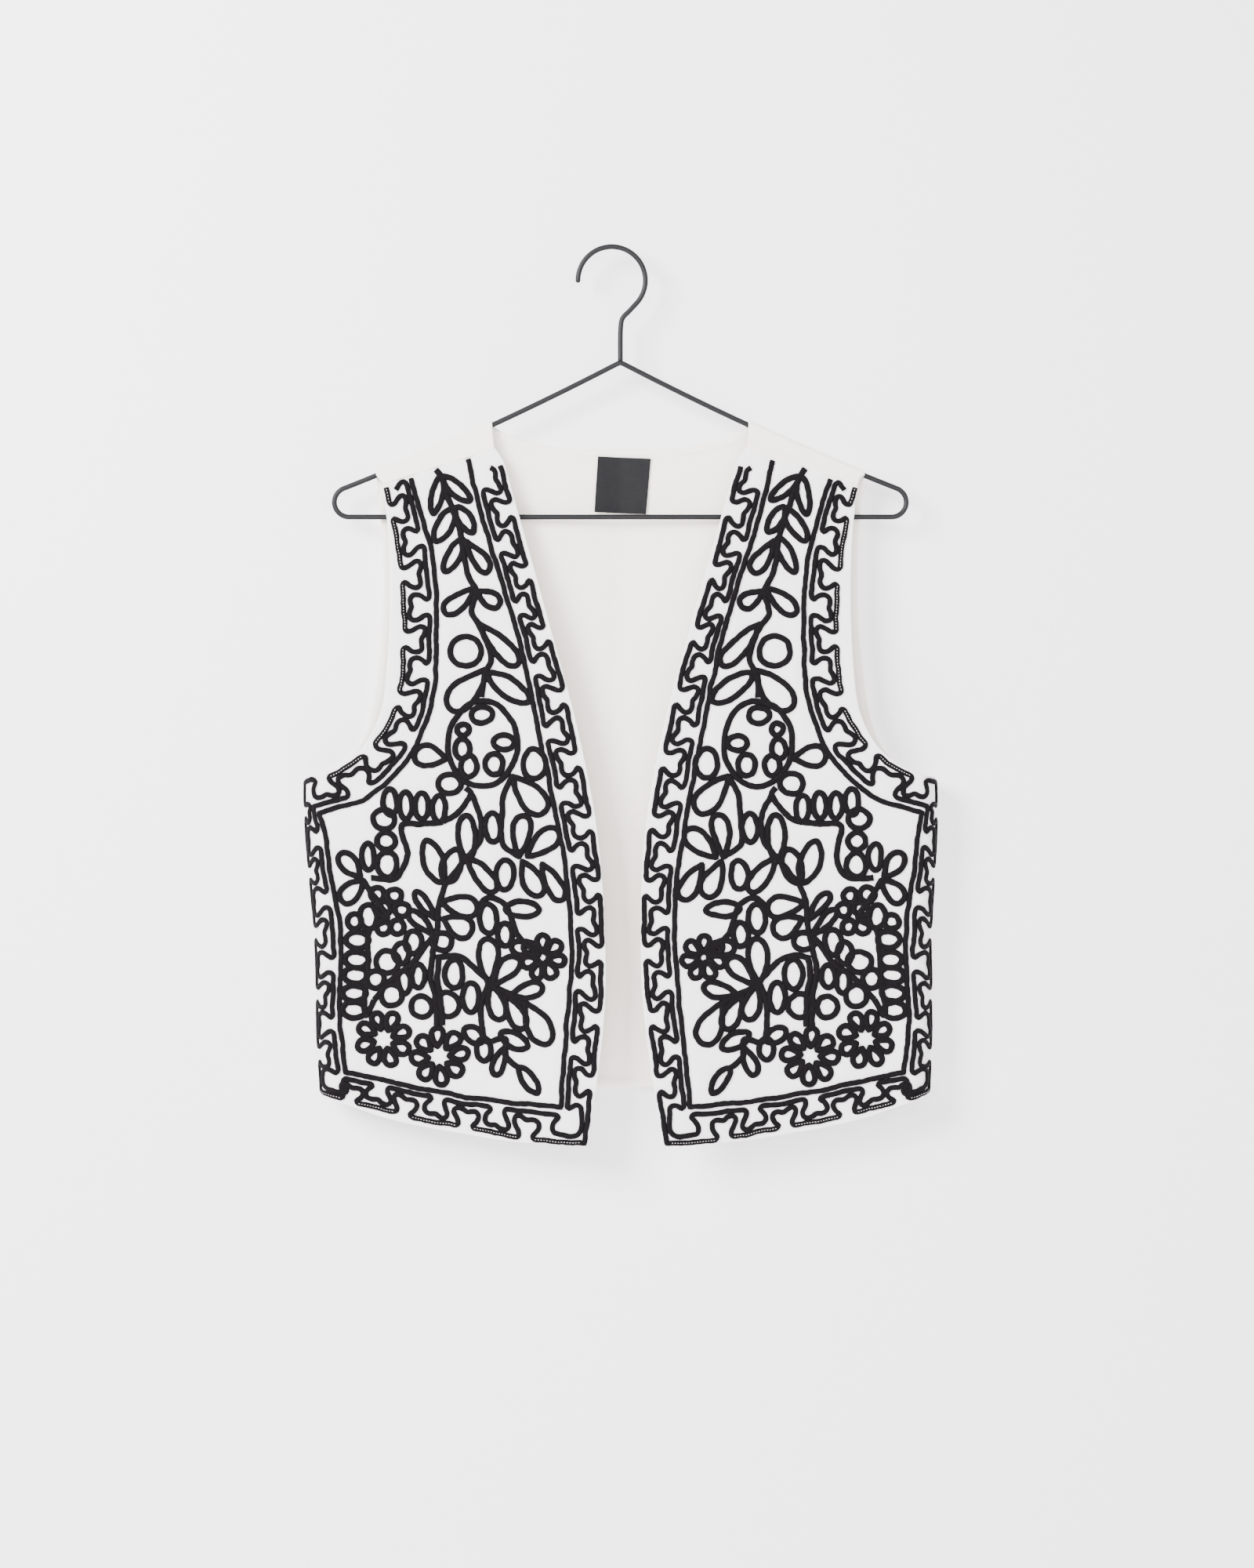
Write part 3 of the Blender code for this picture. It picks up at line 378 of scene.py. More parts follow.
# Embroidered rings: centre and half sizes
Ring = namedtuple("Ring", "u d half_u half_d")
RINGS = [
    Ring(104.8, 378.6, 26.3, 32.5),
    Ring(105.5, 356.9, 8.0, 6.0),
    Ring(119.6, 367.4, 4.5, 4.5),
    Ring(120.4, 382.3, 5.5, 7.5),
    Ring(115.3, 395.5, 6.0, 8.0),
    Ring(96.1, 394.6, 6.5, 8.0),
    Ring(89.0, 378.0, 8.0, 5.5),
    Ring(130.1, 409.2, 9.0, 7.5),
    Ring(117.8, 308.1, 11.8, 11.2),
    Ring(65.6, 393.7, 8.5, 11.0),
    Ring(175.5, 422.9, 5.0, 10.0),
    Ring(163.9, 425.9, 5.0, 10.0),
    Ring(151.2, 425.9, 5.0, 10.0),
    Ring(138.2, 427.7, 5.0, 10.0),
    Ring(180.8, 435.9, 8.0, 7.5),
    Ring(179.0, 452.7, 6.5, 6.5),
    Ring(193.1, 464.5, 5.0, 10.0),
    Ring(178.3, 470.5, 7.5, 9.0),
    Ring(186.6, 493.2, 5.2, 5.2),
    Ring(173.6, 494.2, 5.2, 5.2),
    Ring(181.6, 504.1, 5.2, 5.2),
    Ring(167.9, 505.1, 5.2, 5.2),
    Ring(182.9, 517.8, 5.2, 5.2),
    Ring(172.0, 517.8, 5.2, 5.2),
    Ring(193.7, 510.0, 6.5, 9.0),
    Ring(204.7, 514.0, 5.5, 5.5),
    Ring(202.2, 527.9, 8.5, 6.0),
    Ring(203.2, 542.8, 8.5, 6.0),
    Ring(204.4, 554.6, 8.5, 6.0),
    Ring(205.0, 568.5, 8.5, 6.0),
    Ring(205.8, 581.3, 8.5, 6.0),
    Ring(159.5, 529.7, 6.5, 9.0),
    Ring(137.8, 528.8, 8.0, 6.5),
    Ring(168.5, 537.8, 6.0, 8.0),
    Ring(179.4, 544.7, 9.0, 8.0),
    Ring(188.6, 557.6, 7.0, 7.0),
    Ring(166.8, 559.6, 5.0, 9.0),
    Ring(156.0, 555.4, 5.0, 9.0),
    Ring(176.8, 570.3, 8.0, 8.0),
    Ring(117.7, 448.6, 6.5, 16.0),
    Ring(97.9, 442.6, 6.0, 11.0),
    Ring(89.2, 478.4, 6.5, 11.0),
    Ring(102.0, 511.8, 6.5, 11.0),
    Ring(89.5, 523.8, 5.5, 9.0),
    Ring(76.5, 533.8, 8.5, 5.5),
    Ring(129.1, 553.6, 7.0, 11.0),
    Ring(116.6, 571.4, 6.0, 11.0),
    Ring(154.3, 578.4, 8.0, 8.0),
    Ring(133.9, 577.4, 9.0, 9.0),
    Ring(107.7, 610.9, 5.5, 8.5),
]

# Daisies: centre, petals and reach
Daisy = namedtuple("Daisy", "u d petals inner outer turn")
DAISIES = [
    Daisy(183.4, 603.1, 8, 7.5, 21.0, 0.4),
    Daisy(141.0, 616.0, 8, 7.5, 21.5, 0.1),
    Daisy(61.1, 541.1, 7, 4.0, 17.0, 0.3),
]

# Stems that carry the leaves
STEMS = [
    [
        Spot(141.0, 168.8), Spot(137.0, 174.2), Spot(133.6, 183.6), Spot(123.0, 215.3),
        Spot(117.0, 246.7), Spot(109.9, 262.4), Spot(112.6, 273.0), Spot(113.5, 279.9),
        Spot(107.3, 288.7), Spot(99.5, 306.2), Spot(98.6, 316.7), Spot(103.8, 325.5),
        Spot(105.5, 343.0),
    ],
    [
        Spot(135.8, 437.8), Spot(151.0, 439.8), Spot(167.3, 440.8), Spot(163.5, 464.5),
        Spot(171.6, 480.2), Spot(191.1, 480.2),
    ],
    [
        Spot(81.7, 403.2), Spot(89.2, 417.0), Spot(90.5, 432.9), Spot(90.5, 454.7),
        Spot(78.4, 464.5),
    ],
    [
        Spot(118.3, 412.0), Spot(114.4, 417.0), Spot(127.3, 433.9), Spot(135.8, 437.8),
    ],
    [
        Spot(114.4, 417.0), Spot(107.4, 433.9), Spot(108.0, 451.8), Spot(117.9, 464.5),
        Spot(133.7, 484.4),
    ],
    [
        Spot(133.7, 484.4), Spot(139.2, 498.7), Spot(140.7, 516.4), Spot(144.6, 537.5),
        Spot(147.1, 553.6), Spot(143.4, 571.5), Spot(142.8, 594.2),
    ],
    [
        Spot(197.1, 482.4), Spot(186.6, 499.0), Spot(179.0, 510.9), Spot(192.9, 519.9),
        Spot(194.5, 539.3), Spot(196.9, 564.1), Spot(197.9, 585.0), Spot(190.5, 573.1),
    ],
    [
        Spot(144.6, 525.4), Spot(158.1, 543.3), Spot(173.0, 555.2), Spot(190.5, 573.1),
    ],
    [
        Spot(110.2, 504.1), Spot(101.4, 495.5), Spot(89.0, 501.7), Spot(80.6, 522.4),
        Spot(69.6, 534.3),
    ],
    [
        Spot(140.2, 539.3), Spot(141.6, 555.2), Spot(139.0, 573.1), Spot(138.2, 593.0),
    ],
    [
        Spot(142.6, 541.7), Spot(131.3, 539.3), Spot(121.1, 541.7), Spot(108.3, 553.6),
        Spot(99.1, 563.1), Spot(86.2, 569.1), Spot(74.6, 576.1),
    ],
    [
        Spot(102.6, 559.2), Spot(108.0, 574.1), Spot(108.4, 588.0), Spot(105.4, 604.9),
        Spot(90.7, 603.1), Spot(90.8, 615.1), Spot(79.6, 625.2),
    ],
]


def smooth_step(share):
    """Eases from 0 to 1 while share does."""
    share = np.clip(share, 0.0, 1.0)
    return share * share * (3.0 - 2.0 * share)


def table_curve(rows, keys):
    """Values at the keys on the curve through a table's rows of (key, value)."""
    knots = np.array([row[0] for row in rows], float)
    values = np.array([row[1] for row in rows], float)
    slopes = np.empty(len(knots))
    slopes[1:-1] = (values[2:] - values[:-2]) / (knots[2:] - knots[:-2])
    slopes[0] = (values[1] - values[0]) / (knots[1] - knots[0])
    slopes[-1] = (values[-1] - values[-2]) / (knots[-1] - knots[-2])
    keys = np.clip(keys, knots[0], knots[-1])
    at = np.clip(np.searchsorted(knots, keys, side="right") - 1, 0, len(knots) - 2)
    span = knots[at + 1] - knots[at]
    share = (keys - knots[at]) / span
    leave, arrive = slopes[at] * span, slopes[at + 1] * span
    rise = values[at + 1] - values[at]
    out = values[at] + share * leave + share**2 * (3 * rise - 2 * leave - arrive)
    return out + share**3 * (leave + arrive - 2 * rise)


def curve_through(rows, step):
    """Points about one step apart on a smooth curve through all the rows."""
    points = [np.array(row[:2], float) for row in rows]
    last = len(points) - 1
    out = []
    for at in range(last):
        here, there = points[at], points[at + 1]
        span = np.linalg.norm(there - here)
        leave = (there - points[max(0, at - 1)]) / 2
        arrive = (points[min(last, at + 2)] - here) / 2
        if at > 0:
            leave *= 2 * span / (span + np.linalg.norm(here - points[at - 1]))
        if at < last - 1:
            arrive *= 2 * span / (span + np.linalg.norm(points[at + 2] - there))
        pieces = max(1, round(span / step))
        for piece in range(pieces):
            share = piece / pieces
            bend = 3 * (there - here) - 2 * leave - arrive
            twist = 2 * (here - there) + leave + arrive
            out.append(here + share * leave + share**2 * bend + share**3 * twist)
    out.append(points[-1])
    return out


def offset_line(line, distance):
    """A line moved to its inner side; a line that ends where it starts is taken as closed."""
    closed = np.allclose(line[0], line[-1])
    points = line[:-1] if closed else line
    count = len(points)
    out = []
    for at, point in enumerate(points):
        before = points[at - 1] if closed or at else point
        after = points[(at + 1) % count] if closed or at < count - 1 else point
        normals = []
        for way in (point - before, after - point):
            length = np.linalg.norm(way)
            if length > 0:
                normals.append(np.array((way[1], -way[0])) / length)
        normal = sum(normals) / len(normals)
        normal /= max(MITRE_LIMIT, float(normal @ normal))
        out.append(point + distance * normal)
    if closed:
        out.append(out[0])
    return out


class Path:
    """A polyline that gives its point at a share of its length."""

    def __init__(self, points):
        self.points = np.array(points)
        steps = np.linalg.norm(np.diff(self.points, axis=0), axis=1)
        self.stations = np.concatenate(([0.0], np.cumsum(steps)))
        self.length = float(self.stations[-1])

    def at(self, share):
        """The point at a share from 0 to 1 of the length."""
        station = share * self.length
        return np.array([np.interp(station, self.stations, self.points[:, k]) for k in (0, 1)])

    def nearest(self, point):
        """The path's point that lies nearest to another point."""
        starts, ways = self.points[:-1], np.diff(self.points, axis=0)
        shares = ((point - starts) * ways).sum(axis=1) / (ways**2).sum(axis=1)
        feet = starts + np.clip(shares, 0.0, 1.0)[:, None] * ways
        return feet[np.argmin(((feet - point) ** 2).sum(axis=1))]


def arm_depth(u):
    """Depth of the middle of the hanger's shoulder wire."""
    return APEX_DEPTH + ARM_SLOPE * u - ARM_BOW * u * u


def half_depth(u, d):
    """How far the cloth's middle lies before or behind the wire's plane."""
    reach = np.minimum(u, TURN_FROM)
    return FOLD_RADIUS + table_curve(BELLY, np.maximum(0.0, d - arm_depth(reach)))


def fold_depth(folds, u, d):
    """Sum of some soft troughs."""
    total = np.zeros(len(u))
    for fold in folds:
        along = (d - fold.d) / fold.half_length
        across = (u - fold.u - fold.slope * (d - fold.d)) / fold.half_width
        total += fold.depth * np.exp(-along * along - across * across)
    return total


def sway(d):
    """How far the lower part hangs to the viewer's right."""
    return SWAY * smooth_step((d - SWAY_FROM) / SWAY_OVER)


def round_side(u, d, way):
    """Half width and depth of a chart point that may lie on the turn round the garment's side."""
    radius = half_depth(TURN_FROM, d)
    flat = table_curve(SIDE_WIDTH, d) - radius
    turn = np.maximum(0.0, u - flat) / radius
    out = np.where(u <= flat, u, flat + radius * np.sin(turn))
    deep = np.where(u <= flat, half_depth(u, d), radius * np.cos(turn))
    return out, way * deep, flat


def front_surface(panel, side):
    """The hung form of a front panel; side is -1 or 1."""

    def place(chart):
        u, d = chart[:, 0], chart[:, 1]
        x, y, flat = round_side(u, d, -1.0)
        kick = smooth_step((d - KICK_FROM) / KICK_OVER) * smooth_step(1.0 - u / KICK_WIDTH)
        ease = smooth_step((flat - u) / TURN_EASE) * smooth_step((d - CALM_DEPTH) / CALM_OVER)
        y = y + ease * fold_depth(FOLDS[panel], u, d) - FRONT_KICK * kick
        return np.stack((CENTRE_LINE_X + side * x + sway(d), y, -d), axis=1)

    return place


def back_surface(chart):
    """The hung form of the back; s is the height on its chart, running on over the wire."""
    x, s = chart[:, 0], chart[:, 1]
    u, side = np.abs(x), np.where(x < 0, -1.0, 1.0)
    level = -arm_depth(u)
    past = s - level
    arc = math.pi * FOLD_RADIUS
    behind = np.maximum(-s, 0.0)
    out, deep, flat = round_side(u, behind, 1.0)
    ease = smooth_step((flat - u) / TURN_EASE) * smooth_step(-past / CALM_OVER)
    deep = deep - ease * fold_depth(FOLDS["back"], x, behind)
    angle = np.clip(past, 0.0, arc) / FOLD_RADIUS
    d = past - arc - level
    over = past > 0
    before = past > arc
    px = np.where(over, x, side * out + sway(behind))
    py = np.where(over, FOLD_RADIUS * np.cos(angle), deep)
    py = np.where(before, -half_depth(u, d), py)
    pz = np.where(over, level + FOLD_RADIUS * np.sin(angle), s)
    pz = np.where(before, -d, pz)
    return np.stack((CENTRE_LINE_X + px, py, pz), axis=1)


def surface_normals(place, chart, towards):
    """Unit normals of a chart's surface, on the side that towards gives."""
    small = 0.2
    over, down = np.array((small, 0.0)), np.array((0.0, small))
    along = place(chart + over) - place(chart - over)
    across = place(chart + down) - place(chart - down)
    normals = np.cross(along, across)
    return towards * normals / np.linalg.norm(normals, axis=1)[:, None]


def nearest_distances(points, queries):
    """Distance from each query to the nearest of the points, on the chart."""
    tree = KDTree(len(points))
    for at, point in enumerate(points):
        tree.insert((point[0], point[1], 0.0), at)
    tree.balance()
    return np.array([tree.find((query[0], query[1], 0.0))[2] for query in queries])


def inside(outline, points):
    """Which points lie inside a closed outline."""
    starts = np.roll(outline, 1, axis=0)
    hit = np.zeros(len(points), bool)
    for start, end in zip(starts, outline):
        if start[1] == end[1]:
            continue
        spans = (start[1] > points[:, 1]) != (end[1] > points[:, 1])
        cross = start[0] + (points[:, 1] - start[1]) * (end[0] - start[0]) / (end[1] - start[1])
        hit ^= spans & (points[:, 0] < cross)
    return hit


def staggered_points(outline, spacing, apart):
    """Staggered rows of points inside an outline, clear of the points of apart."""
    low, high = outline.min(axis=0), outline.max(axis=0)
    row_step = spacing * 0.87
    points = []
    for row in range(int((high[1] - low[1]) / row_step) + 1):
        count = int((high[0] - low[0]) / spacing) + 2
        xs = low[0] + spacing * (np.arange(count) - 0.5 * (row % 2))
        points.append(np.stack((xs, np.full(count, low[1] + row_step * row)), axis=1))
    points = np.concatenate(points)
    points = points[inside(outline, points)]
    return points[nearest_distances(apart, points) > 0.55 * spacing]


def signed_area(outline):
    """Area inside a closed outline; its sign tells which way it runs."""
    after = np.roll(outline, -1, axis=0)
    return float((outline[:, 0] * after[:, 1] - after[:, 0] * outline[:, 1]).sum() / 2)


def noise_at(points, scale, seed):
    """Smooth noise from -1 to 1 at each chart point."""
    shift = 7.31 * seed
    return np.array([noise.noise((p[0] * scale, p[1] * scale, shift)) for p in points])


def new_piece(name, positions, faces, material):
    """A smooth mesh object from points in millimetres."""
    mesh = bpy.data.meshes.new(name)
    mesh.from_pydata((np.array(positions) * MM).tolist(), [], faces)
    mesh.shade_smooth()
    mesh.materials.append(material)
    made = bpy.data.objects.new(name, mesh)
    bpy.context.collection.objects.link(made)
    return made


def add_uv(ob, chart, name):
    """Stores each vertex's chart place, in metres, as a UV map."""
    layer = ob.data.uv_layers.new(name=name)
    index = np.empty(len(ob.data.loops), int)
    ob.data.loops.foreach_get("vertex_index", index)
    layer.data.foreach_set("uv", (chart[index] * MM).ravel())


def cloth_piece(name, outline, place, towards, relief, extras, lines, thickness, spacing, cloth):
    """Both skins of a cloth over a chart outline, meeting in a rounded edge.

    relief moves the whole cloth out, extras thickens the outer and the inner skin, and lines
    are rows of chart points that the mesh keeps."""
    outline = np.array(outline)
    way = 1.0 if signed_area(outline) < 0 else -1.0
    loop = list(outline) + [outline[0]]
    half = thickness / 2
    rings = [offset_line(loop, way * half * inset)[:-1] for inset in (0.3, 1.0)]
    kept = [np.array(line) for line in lines]
    dense = [curve[0] + (curve[1] - curve[0]) * k / 3 for curve in zip(loop, loop[1:]) for k in range(3)]
    apart = np.concatenate([np.array(dense)] + kept)
    loose = staggered_points(outline, spacing, apart)
    chart = np.concatenate([outline] + [np.array(ring) for ring in rings] + kept + [loose])
    rim = len(outline)
    flat, _, faces, sources, _, _ = delaunay_2d_cdt(
        [Vector(point) for point in chart], [], [list(range(rim))], 1, 1e-5
    )
    flat = np.array(flat)
    inset = np.full(len(flat), half)
    for index, origin in enumerate(sources):
        for source in origin:
            if source < rim:
                inset[index] = 0.0
            elif source < 2 * rim and inset[index] > 0.0:
                inset[index] = 0.3 * half
    edge = np.sqrt(1.0 - (1.0 - inset / half) ** 2)
    normals = surface_normals(place, flat, towards)
    middle = place(flat) + relief(flat)[:, None] * normals
    outer_extra, inner_extra = extras(flat)
    outer = middle + normals * (edge * (half + outer_extra))[:, None]
    inner = middle - normals * (edge * (half + inner_extra))[:, None]
    free = np.flatnonzero(inset > 0.0)
    twin = np.arange(len(flat))
    twin[free] = len(flat) + np.arange(len(free))
    positions = np.concatenate((outer, inner[free]))
    faces = [face for face in faces if len(face) == 3]
    a, b, c = [outer[corner] for corner in faces[len(faces) // 2]]
    if np.cross(b - a, c - a) @ normals[faces[len(faces) // 2][0]] < 0:
        faces = [face[::-1] for face in faces]
    back = [tuple(int(twin[corner]) for corner in reversed(face)) for face in faces]
    made = new_piece(name, positions, [tuple(face) for face in faces] + back, cloth)
    add_uv(made, np.concatenate((flat, flat[free])), "cloth")
    return made


def side_seam(turn, depths):
    """Chart points down the side seam of a panel that turns so far round the side."""
    radius = half_depth(TURN_FROM, depths)
    reach = table_curve(SIDE_WIDTH, depths) - radius + radius * turn
    return list(np.stack((reach, depths), axis=1))


def front_runs():
    """The four edges of a front, from the shoulder down, out, up and back to the top."""
    opening = curve_through(FRONT_OPENING, OUTLINE_STEP)
    armhole = curve_through(FRONT_ARMHOLE, OUTLINE_STEP)
    depths = np.linspace(FRONT_HEM[-1].d, FRONT_ARMHOLE[0].d, 78)
    side = side_seam(FRONT_TURN, depths)
    hem = curve_through(FRONT_HEM[:-1] + [Spot(*side[0])], OUTLINE_STEP)
    armhole[0] = side[-1]
    return {"opening": opening, "hem": hem, "side": side, "armhole": armhole}


def border_paths(lines, step):
    """The runs of a border line as paths."""
    return [Path(curve_through(lines[run.name], step)) for run in RUNS]


def band_place(outer, frame_run, deep, reach, along):
    """A point of the border band: deep counts in band depths, and reach in key lengths."""
    start = outer.at(along / outer.length)
    way = frame_run.nearest(start) - start
    depth = np.linalg.norm(way)
    across = deep * depth + reach * (INNER_CORD * depth - CORD_GAP)
    return start + way * across / depth


def filled(outer, frame_run, deep, start, end):
    """Points at one depth of the band between two places along it."""
    count = max(1, int((end - start) / FILL_STEP))
    steps = np.linspace(start, end, count + 2)[1:-1]
    return [band_place(outer, frame_run, deep, 0.0, along) for along in steps]


def key_points(run, turn):
    """A key's points, fitted to the run's spacing, and turned round where turn is -1."""
    spacing = (run.middles[-1] - run.middles[0]) / (len(run.middles) - 1)
    scale = turn * spacing / KEY_PERIOD
    return [KeyPoint(p.share, scale * p.along) for p in KEY[::turn]]


def outer_cord(outers, frames, step):
    """The outer border cord, with a key pointing inwards at each middle."""
    line = []
    for run, outer, frame_run in zip(RUNS, outers, frames):
        last_run = run.name == "armhole"
        key = key_points(run, run.turn)
        at = CORD_START if run.name == "opening" else 0.0
        rows = [band_place(outer, frame_run, 0.0, 0.0, at)]
        for middle in run.middles:
            rows += filled(outer, frame_run, 0.0, at, middle + key[0].along)
            rows += [band_place(outer, frame_run, 0.0, p.share, middle + p.along) for p in key]
            at = middle + key[-1].along
        end = outer.length - (CORD_END if last_run else 0.0)
        rows += filled(outer, frame_run, 0.0, at, end)
        rows.append(band_place(outer, frame_run, 0.0, 0.0, end))
        line += curve_through(rows, step)[: None if last_run else -1]
    return line


def inner_cord(outers, frames, step):
    """The inner border cord, whose keys point outwards between those of the outer one."""
    parts, rows = [], []
    for run, outer, frame_run in zip(RUNS, outers, frames):
        key = key_points(run, -run.turn)
        whole = [PartKey((a + b) / 2, 0, len(key)) for a, b in zip(run.middles, run.middles[1:])]
        at = 0.0
        for part in sorted(PART_KEYS[run.name] + whole):
            if part.start == 0:
                rows += filled(outer, frame_run, INNER_CORD, at, part.middle + key[0].along)
            for p in key[part.start:part.end]:
                at = part.middle + p.along
                rows.append(band_place(outer, frame_run, INNER_CORD, -p.share, at))
        if run.name in ("opening", "hem"):
            rows.append(band_place(outer, frame_run, CORNER_CORD, 0.0, outer.length))
        elif run.name == "side":
            rows += filled(outer, frame_run, INNER_CORD, at, outer.length)
            rows.append(band_place(outer, frame_run, INNER_CORD, 0.0, outer.length))
            parts.append(curve_through(rows, step))
            rows = [rows[-1]]
    parts.append(curve_through(rows, step))
    return parts[0][:-1] + parts[1]


def leaf_loop(leaf, step):
    """A closed leaf from its root to its tip and back."""
    root = np.array((leaf.root_u, leaf.root_d))
    along = np.array((leaf.tip_u, leaf.tip_d)) - root
    length = np.linalg.norm(along)
    across = np.array((along[1], -along[0])) / length
    count = max(12, int(2.3 * length / step))
    points = []
    for k in range(count):
        angle = math.tau * k / count
        spread = math.sin(angle) * math.sin(angle / 2) / 0.77
        if leaf.pointed:
            spread = math.sin(angle) * abs(math.sin(angle)) ** 0.25
        points.append(root + along * (1 - math.cos(angle)) / 2 + across * spread * leaf.width / 2)
    return points


def ring_loop(ring, step):
    """A closed oval."""
    centre = np.array((ring.u, ring.d))
    half = np.array((ring.half_u, ring.half_d))
    count = max(12, int(math.pi * (ring.half_u + ring.half_d) / step))
    angles = [math.tau * k / count for k in range(count)]
    return [centre + half * np.array((math.cos(a), math.sin(a))) for a in angles]


def daisy_petals(daisy):
    """The petals of a daisy as leaves round its centre."""
    petals = []
    for k in range(daisy.petals):
        angle = math.tau * (k + daisy.turn) / daisy.petals
        way = np.array((math.cos(angle), math.sin(angle)))
        root = np.array((daisy.u, daisy.d)) + daisy.inner * way
        tip = np.array((daisy.u, daisy.d)) + daisy.outer * way
        petals.append(Leaf(*root, *tip, PETAL_WIDTH * (daisy.outer - daisy.inner), 0))
    return petals


def by_hand(line, seed):
    """Moves a line's points a little, as a hand-guided machine does."""
    points = np.array(line)
    sway_u = noise_at(points, 0.07, seed) + 0.35 * noise_at(points, 0.25, seed + 3)
    sway_d = noise_at(points, 0.07, seed + 1) + 0.35 * noise_at(points, 0.25, seed + 4)
    return points + np.stack((sway_u, sway_d), axis=1) * HAND_SWAY


def border_lines(seed, step):
    """The border's cords of a front, as (points, closed) on its chart."""
    outers = border_paths(OUTER_LINE, PATH_STEP)
    frames = border_paths(FRAME_LINE, PATH_STEP)
    frame_line = []
    for path in frames:
        frame_line += curve_through(list(path.points), step)[:-1]
    lines = [outer_cord(outers, frames, step), inner_cord(outers, frames, step), frame_line]
    return [(by_hand(line, seed), False) for line in lines]


def motif_lines(seed, step):
    """The flower cords of a front, as (points, closed) on its chart."""
    leaves = LEAVES + [petal for daisy in DAISIES for petal in daisy_petals(daisy)]
    lines = [(leaf_loop(leaf, step), True) for leaf in leaves]
    lines += [(ring_loop(ring, step), True) for ring in RINGS]
    lines += [(curve_through(stem, step), False) for stem in STEMS]
    return [(by_hand(line, seed), closed) for line, closed in lines]


class Web:
    """Adds nodes to a node tree and joins them."""

    def __init__(self, tree):
        self.tree = tree

    def add(self, kind, inputs=None, **settings):
        """A new node with its settings, and its inputs set or joined."""
        node = self.tree.nodes.new(kind)
        for key, value in settings.items():
            setattr(node, key, value)
        for key, value in (inputs or {}).items():
            if isinstance(value, bpy.types.NodeSocket):
                self.tree.links.new(value, node.inputs[key])
            else:
                node.inputs[key].default_value = value
        return node

    def math(self, operation, first, second=0.0, third=0.0):
        """The result of a math node."""
        inputs = {0: first, 1: second, 2: third}
        return self.add("ShaderNodeMath", inputs, operation=operation).outputs[0]


def new_group(name, kind, inputs, outputs):
    """A node group with named sockets, given as (name, type, default) and (name, type)."""
    tree = bpy.data.node_groups.new(name, kind)
    for label, socket_type, default in inputs:
        made = tree.interface.new_socket(name=label, in_out="INPUT", socket_type=socket_type)
        if default is not None:
            made.default_value = default
    for label, socket_type in outputs:
        tree.interface.new_socket(name=label, in_out="OUTPUT", socket_type=socket_type)
    web = Web(tree)
    return web, web.add("NodeGroupInput").outputs, web.add("NodeGroupOutput").inputs


def cord_tree():
    """Geometry nodes that lay a flattened cord along edges."""
    web, given, result = new_group(
        "Laid cord",
        "GeometryNodeTree",
        [
            ("Geometry", "NodeSocketGeometry", None),
            ("Width", "NodeSocketFloat", 0.0036),
            ("Height", "NodeSocketFloat", 0.002),
            ("Sides", "NodeSocketInt", 8),
            ("Unevenness", "NodeSocketFloat", 0.08),
            ("Seed", "NodeSocketFloat", 1.0),
            ("Material", "NodeSocketMaterial", None),
        ],
        [("Geometry", "NodeSocketGeometry")],
    )
    curve = web.add("GeometryNodeMeshToCurve", {"Mesh": given["Geometry"]})
    normal = web.add("GeometryNodeInputNamedAttribute", {"Name": "lay"}, data_type="FLOAT_VECTOR")
    turned = web.add(
        "GeometryNodeSetCurveNormal",
        {"Curve": curve.outputs[0], "Normal": normal.outputs[0]},
        mode="FREE",
    )
    place = web.add("GeometryNodeInputPosition")
    uneven = web.add(
        "ShaderNodeTexNoise",
        {"Vector": place.outputs[0], "W": given["Seed"], "Scale": 260.0, "Detail": 1.0},
        noise_dimensions="4D",
    )
    swing = web.math("MULTIPLY_ADD", uneven.outputs[0], 2.0, -1.0)
    radius = web.math("MULTIPLY_ADD", swing, given["Unevenness"], 1.0)
    sized = web.add(
        "GeometryNodeSetCurveRadius", {"Curve": turned.outputs[0], "Radius": radius}
    )
    station = web.add("GeometryNodeSplineParameter")
    marked = web.add(
        "GeometryNodeStoreNamedAttribute",
        {"Geometry": sized.outputs[0], "Name": "run", "Value": station.outputs["Length"]},
        data_type="FLOAT",
        domain="POINT",
    )
    ring = web.add("GeometryNodeCurvePrimitiveCircle", {"Resolution": given["Sides"], "Radius": 0.5})
    size = web.add("ShaderNodeCombineXYZ", {"X": given["Height"], "Y": given["Width"], "Z": 1.0})
    oval = web.add("GeometryNodeTransform", {"Geometry": ring.outputs[0], "Scale": size.outputs[0]})
    around = web.add("GeometryNodeSplineParameter")
    profile = web.add(
        "GeometryNodeStoreNamedAttribute",
        {"Geometry": oval.outputs[0], "Name": "around", "Value": around.outputs["Factor"]},
        data_type="FLOAT",
        domain="POINT",
    )
    scale = web.add("GeometryNodeInputRadius")
    tube = web.add(
        "GeometryNodeCurveToMesh",
        {
            "Curve": marked.outputs[0],
            "Profile Curve": profile.outputs[0],
            "Scale": scale.outputs[0],
            "Fill Caps": True,
        },
    )
    smooth = web.add("GeometryNodeSetShadeSmooth", {"Geometry": tube.outputs[0]})
    whole = web.add("GeometryNodeRealizeInstances", {"Geometry": smooth.outputs[0]})
    painted = web.add(
        "GeometryNodeSetMaterial", {"Geometry": whole.outputs[0], "Material": given["Material"]}
    )
    web.tree.links.new(painted.outputs[0], result[0])
    return web.tree


